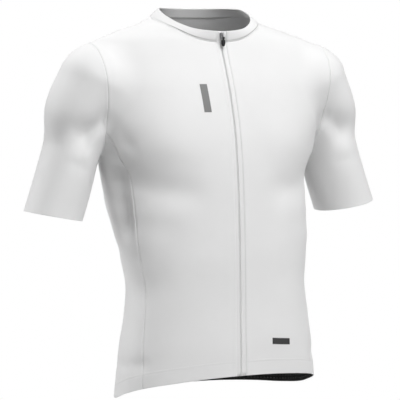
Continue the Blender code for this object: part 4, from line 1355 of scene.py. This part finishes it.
def make_slider(metal):
    """The slider: two plates that narrow downwards, their flanges, two lugs and the bar."""
    wide = SLIDER_WIDTH / 2
    half = [(wide * 0.62, SLIDER_TOP), (wide, SLIDER_TOP - 0.0014), (wide, SLIDER_TOP - 0.0040),
            (wide * 0.80, SLIDER_BOTTOM + 0.0022), (wide * 0.72, SLIDER_BOTTOM)]
    outline = mirror_outline(half)
    back = SLIDER_BACK_Y
    front = SLIDER_BACK_Y - SLIDER_DEPTH
    plate = outline_block("slider_front", outline, front, front + 0.0008, metal, 0.0003, 3)
    outline_block("slider_back", outline, back - 0.0008, back, metal, 0.0003, 3)
    for side, name in ((1, "left"), (-1, "right")):
        flange = [(side * wide * 0.98, SLIDER_TOP - 0.0042), (side * wide * 0.80, SLIDER_BOTTOM + 0.0022),
                  (side * wide * 0.60, SLIDER_BOTTOM + 0.0022), (side * wide * 0.78, SLIDER_TOP - 0.0042)]
        flange = flange if side > 0 else flange[::-1]
        outline_block("slider_flange_" + name, flange, front + 0.0006, back - 0.0006, metal, 0.0001, 1)
        lug = [(side * LUG_X + a * LUG_WIDTH / 2, BAR_Z + b * LUG_HEIGHT / 2)
               for a, b in ((1, 1), (1, -1), (-1, -1), (-1, 1))]
        outline_block("slider_lug_" + name, lug, BAR_Y - 1.6 * BAR_RADIUS, front + 0.0004, metal, 0.0003, 3)
    ridge = [(0.0011, SLIDER_TOP - 0.0010), (0.0015, SLIDER_TOP - 0.0034), (0.0009, SLIDER_TOP - 0.0062)]
    outline_block("slider_ridge", mirror_outline(ridge), front - 0.0007, front + 0.0004, metal, 0.0004, 3)
    vertices, faces = rod_mesh(BAR_RADIUS, LUG_X + LUG_WIDTH / 2, (0, BAR_Y, BAR_Z))
    add_piece("slider_bar", vertices, faces, metal)
    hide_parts("zip_slider")


PULL_EDGE = 0.00045       # rounding of the tab's outline
RIB_SHARE = 0.55          # the raised middle of the tab, as a share of its width
RIB_OUT = 0.00025
RIB_EDGE = 0.0002


def make_pull(rubber):
    """The pull tab: an eye on the bar and a rubber tab that tapers to a blunt tip."""
    wide = PULL_WIDTH / 2
    tip = PULL_TIP_WIDTH / 2
    half = [(EYE_WIDTH / 2, -EYE_RADIUS * 0.8), (EYE_WIDTH / 2, -PULL_NECK), (wide, -PULL_SHOULDER),
            (wide, -0.5 * (PULL_SHOULDER + PULL_TAPER)), (wide * 0.97, -PULL_TAPER),
            (wide * 0.80, -0.5 * (PULL_TAPER + PULL_LENGTH)),
            (tip, -PULL_LENGTH + 0.0004), (tip * 0.6, -PULL_LENGTH)]
    outline = [(x, BAR_Z + z) for x, z in mirror_outline(half)]
    middle = BAR_Y - PULL_FORWARD
    tab = outline_block("pull_tab", outline, middle - PULL_THICKNESS / 2, middle + PULL_THICKNESS / 2,
                        rubber, PULL_EDGE, 4, "pull")
    rib = [(wide * RIB_SHARE, -PULL_SHOULDER - 0.0012), (wide * RIB_SHARE, -PULL_TAPER),
           (tip * RIB_SHARE, -PULL_LENGTH + 0.0018)]
    rib = [(x, BAR_Z + z) for x, z in mirror_outline(rib)]
    outline_block("pull_rib", rib, middle - PULL_THICKNESS / 2 - RIB_OUT, middle, rubber, RIB_EDGE, 3, "pull")
    eye_vertices, eye_faces = eye_mesh()
    add_piece("pull_eye", eye_vertices, eye_faces, rubber, body_name="pull")
    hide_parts("zip_pull")


def eye_mesh(count=32):
    """A short tube round the bar."""
    profile = [(-1.0, EYE_HOLE), (-1.0, EYE_RADIUS * 0.93), (-0.92, EYE_RADIUS), (0.92, EYE_RADIUS),
               (1.0, EYE_RADIUS * 0.93), (1.0, EYE_HOLE)]
    vertices = []
    for share, radius in profile:
        vertices.extend([(share * EYE_WIDTH / 2, BAR_Y + radius * b, BAR_Z + radius * c)
                         for b, c in ring_outline(count)])
    return vertices, sheet_faces(len(profile), count, True, looped=True)


# ---------------------------------------------------------------- the jersey
def make_collar(points, knit):
    """The collar as one closed piece, its layers joined at the fold and at the seam."""
    rings, out, base, rim = collar_mesh(points)
    count, columns = rings.shape[:2]
    faces = sheet_faces(count, columns, False, looped=True)
    faces.append(tuple(k * columns for k in range(count)))
    faces.append(tuple(k * columns + columns - 1 for k in range(count))[::-1])
    run = travel(base) * length_of(base)
    uv = np.stack(np.broadcast_arrays(run[None, :], (np.arange(count) * 0.0015)[:, None]), -1)
    piece = add_piece("collar_cloth", rings.reshape(-1, 3), faces, knit, uv.reshape(-1, 2))
    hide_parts("collar")
    middle = (np.stack([base, rim]) - out * COLLAR_CLOTH / 2)
    declare(middle, False)
    return piece


def make_chain(points, tape, mat):
    """The closed coil of the zip: two beads of fine coils that meet at the centre line."""
    line = tape.outer[:, 2].copy()
    line = line[line[:, 2] < CHAIN_TOP]
    normals = np.tile(np.array([0.0, -1.0, 0.0]), (len(line), 1))
    sets = []
    for side, shift in ((1, 0.0), (-1, COIL_STAGGER)):
        path = line.copy()
        path[:, 0] = side * COIL_X
        path[:, 2] += shift
        sets.append(grains(path + normals * GRAIN_OUT, normals, *COIL_SIZES, turn=True))
    vertices, faces = join_grains(sets)
    piece = add_piece("zip_coils", vertices, faces, mat)
    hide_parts("zip_chain")
    return piece


def gripper_dots(gripper, mat):
    """Rows of small grip dots on the inner face of the hem band."""
    inner = gripper.outer - gripper.normal * gripper.wall[..., None]
    sets = []
    for row in DOT_ROWS:
        line = inner[row][1:-1]
        normals = -gripper.normal[row][1:-1]
        sets.append(grains(line + normals * GRAIN_OUT, normals, *DOT_SIZES))
    vertices, faces = join_grains(sets)
    return add_piece("gripper_dots", vertices, faces, mat)


def both(lines):
    """The lines of one side and their mirror images."""
    return lines + [(mirrored(points), mirrored(normals)) for points, normals in lines]


def make_threads(front, side, back, sleeve, pocket, mat):
    """Every row of stitches, as a few joined meshes."""
    hem = [sheet.line("bottom", away) for sheet in (front, side) for away in HEM_STITCHES]
    thread("hem_threads", both(hem) + [back.line("bottom", away) for away in HEM_STITCHES], mat)
    thread("zip_threads", both([front.line("left", BESIDE_ZIP)]), mat)
    seams = [sheet.line(edge, BESIDE_SEAM) for sheet, edge in (
        (front, "right"), (side, "left"), (side, "right"), (front, "top"), (sleeve, "bottom"))]
    thread("seam_threads_left", seams, mat, radius=SEAM_THREAD)
    thread("seam_threads_right", both(seams)[len(seams):], mat, radius=SEAM_THREAD)
    thread("back_threads", [back.line(edge, BESIDE_SEAM) for edge in ("left", "right", "top")], mat,
           radius=SEAM_THREAD)
    total = pocket.outer.shape[1]
    lines = [pocket.line("top", away) for away in MOUTH_STITCHES]
    lines += [pocket.line(edge, POCKET_STITCH) for edge in ("bottom", "left", "right")]
    added = len(EDGE_ROWS[:3])
    for share in (1 / 3, 2 / 3):
        middle = int(round(share * (total - 1 - 2 * added) + added))
        for column in (middle - 1, middle):
            lines.append((pocket.outer[:, column], pocket.normal[:, column]))
    thread("pocket_threads", lines, mat)


def build():
    points = sample_seams()
    white = knit_material("white_knit", (0.78, 0.78, 0.78))
    collar_white = knit_material("collar_knit", (0.76, 0.76, 0.76), wale=0.0008, course=0.0008)
    tape_white = knit_material("zip_tape", (0.77, 0.77, 0.77), wale=0.0005, course=0.0008, strength=0.3,
                               sheen=0.1)
    coil = grained_material("zip_coil", (0.86, 0.86, 0.86), 0.45)
    threads = grained_material("thread", (0.74, 0.74, 0.74), 0.6)
    black = knit_material("gripper_elastic", (0.010, 0.010, 0.010), wale=0.0016, course=0.0008,
                          strength=0.5, sheen=0.05)
    dots = grained_material("gripper_dots", (0.03, 0.03, 0.03), 0.35)
    strip = grained_material("chest_strip", (0.185, 0.185, 0.185), 0.5, scale=2500.0)
    label = grained_material("hem_label", (0.040, 0.040, 0.040), 0.55, scale=2500.0)
    metal = grained_material("slider_metal", (0.40, 0.40, 0.41), 0.32, 1.0)
    rubber = grained_material("pull_rubber", (0.010, 0.010, 0.011), 0.45)

    front = front_sheet(points)
    back = back_sheet(points)
    side = side_sheet(points)
    sleeve = sleeve_sheet(points)
    tape = tape_sheet(points)
    gripper = gripper_sheet(points)
    pocket = pocket_sheet(points, back)
    for name, flip in (("left", False), ("right", True)):
        for word, sheet, mat, slot in (("front_", front, white, "knit"), ("side_", side, white, "knit"),
                                       ("sleeve_", sleeve, white, "knit"),
                                       ("zip_tape_", tape, tape_white, "zip_tape")):
            cloth(word + name, sheet.flipped() if flip else sheet, mat)
    cloth("back", back, white)
    cloth("pocket_panel", pocket, white)
    cloth("hem_gripper", gripper, black)
    cloth("chest_strip", trim_sheet(**CHEST_STRIP), strip)
    cloth("hem_label", trim_sheet(**HEM_LABEL), label)
    make_collar(points, collar_white)
    make_chain(points, tape, coil)
    gripper_dots(gripper, dots)
    make_threads(front, side, back, sleeve, pocket, threads)
    make_slider(metal)
    make_pull(rubber)


# ---------------------------------------------------------------- camera and light
CAMERA_TURN = math.radians(26.0)      # the camera stands this far towards the wearer's right
CAMERA_AWAY = 3.0
CAMERA_ASIDE = -0.0093
CAMERA_Z = -0.048
CAMERA_DOWN = math.radians(4.6511)
CAMERA_LENS = 159.3
FLOOR_Z = -1.10
FLOOR_REACH = 2.0
FLOOR_CORNERS = 96


def make_camera():
    data = bpy.data.cameras.new("camera")
    data.lens = CAMERA_LENS
    data.sensor_width = 36.0
    data.clip_start = 0.05
    data.clip_end = 50.0
    camera = bpy.data.objects.new("camera", data)
    sine, cosine = math.sin(CAMERA_TURN), math.cos(CAMERA_TURN)
    camera.location = (-CAMERA_AWAY * sine + CAMERA_ASIDE * cosine,
                       -CAMERA_AWAY * cosine - CAMERA_ASIDE * sine, CAMERA_Z)
    camera.rotation_euler = (math.pi / 2 - CAMERA_DOWN, 0.0, -CAMERA_TURN)
    bpy.context.scene.collection.objects.link(camera)
    bpy.context.scene.camera = camera


def area_light(name, place, target, size, power):
    data = bpy.data.lights.new(name, "AREA")
    data.shape = "DISK"
    data.size = size
    data.energy = power
    lamp = bpy.data.objects.new(name, data)
    lamp.location = place
    direction = np.array(target, float) - np.array(place, float)
    turn = math.atan2(-direction[0], direction[1])
    tilt = math.acos(-direction[2] / np.linalg.norm(direction))
    lamp.rotation_euler = (tilt, 0.0, turn)
    bpy.context.scene.collection.objects.link(lamp)
    return lamp


WORLD_LEVELS = ((0.0, 0.0), (0.5, 0.02), (0.65, 0.06), (0.82, 0.12), (1.0, 0.14))
LIT_POINT = (0.0, 0.0, -0.28)
LAMP_WIDE = 2.2
LAMPS = (
    # name, place, power in watts
    ("top_front", (0.0, -1.6, 3.0), 102.0),
    ("front_high", (0.1, -3.0, 2.2), 44.0),
    ("front_level", (0.0, -3.6, -0.1), 4.5),
    ("left_back", (-2.6, 2.2, 0.8), 84.0),
    ("right_front", (2.3, -2.4, 0.6), 20.0),
    ("left_low", (-3.2, 0.3, -0.4), 2.0),
    ("right_back", (2.6, 2.2, 0.8), 14.0),
)


def make_light():
    """A white studio: faint light from above, and large soft lamps."""
    world = bpy.data.worlds.new("studio")
    bpy.context.scene.world = world
    world.use_nodes = True
    nodes = world.node_tree.nodes
    links = world.node_tree.links
    nodes.clear()
    place = nodes.new("ShaderNodeTexCoord")
    split = nodes.new("ShaderNodeSeparateXYZ")
    wire(links, place, "Generated", split, "Vector")
    share = nodes.new("ShaderNodeMapRange")
    share.inputs["From Min"].default_value = -1.0
    share.inputs["From Max"].default_value = 1.0
    wire(links, split, "Z", share, "Value")
    levels = nodes.new("ShaderNodeValToRGB")
    elements = levels.color_ramp.elements
    while len(elements) < len(WORLD_LEVELS):
        elements.new(0.5)
    for element, (position, level) in zip(elements, WORLD_LEVELS):
        element.position = position
        element.color = (level, level, level, 1.0)
    wire(links, share, "Result", levels, "Fac")
    lit = nodes.new("ShaderNodeBackground")
    wire(links, levels, "Color", lit, "Color")
    seen = nodes.new("ShaderNodeBackground")
    seen.inputs["Color"].default_value = (1.0, 1.0, 1.0, 1.0)
    path = nodes.new("ShaderNodeLightPath")
    mix = nodes.new("ShaderNodeMixShader")
    wire(links, path, "Is Camera Ray", mix, "Fac")
    wire(links, lit, "Background", mix, 1)
    wire(links, seen, "Background", mix, 2)
    out = nodes.new("ShaderNodeOutputWorld")
    wire(links, mix, "Shader", out, "Surface")
    for name, place, power in LAMPS:
        area_light(name, place, LIT_POINT, LAMP_WIDE, power)


def make_floor():
    mat, nodes, links, shader = shader_material("floor", (0.70, 0.70, 0.70), 0.9)
    mesh = bpy.data.meshes.new("floor")
    rim = [(FLOOR_REACH * a, FLOOR_REACH * b, FLOOR_Z) for a, b in ring_outline(FLOOR_CORNERS)]
    mesh.from_pydata(rim, [], [tuple(range(FLOOR_CORNERS))])
    mesh.materials.append(mat)
    floor = bpy.data.objects.new("floor", mesh)
    bpy.context.scene.collection.objects.link(floor)


CREASE_LINES = crease_lines()
build()
make_camera()
make_light()
make_floor()
bpy.context.scene.view_settings.view_transform = "Standard"
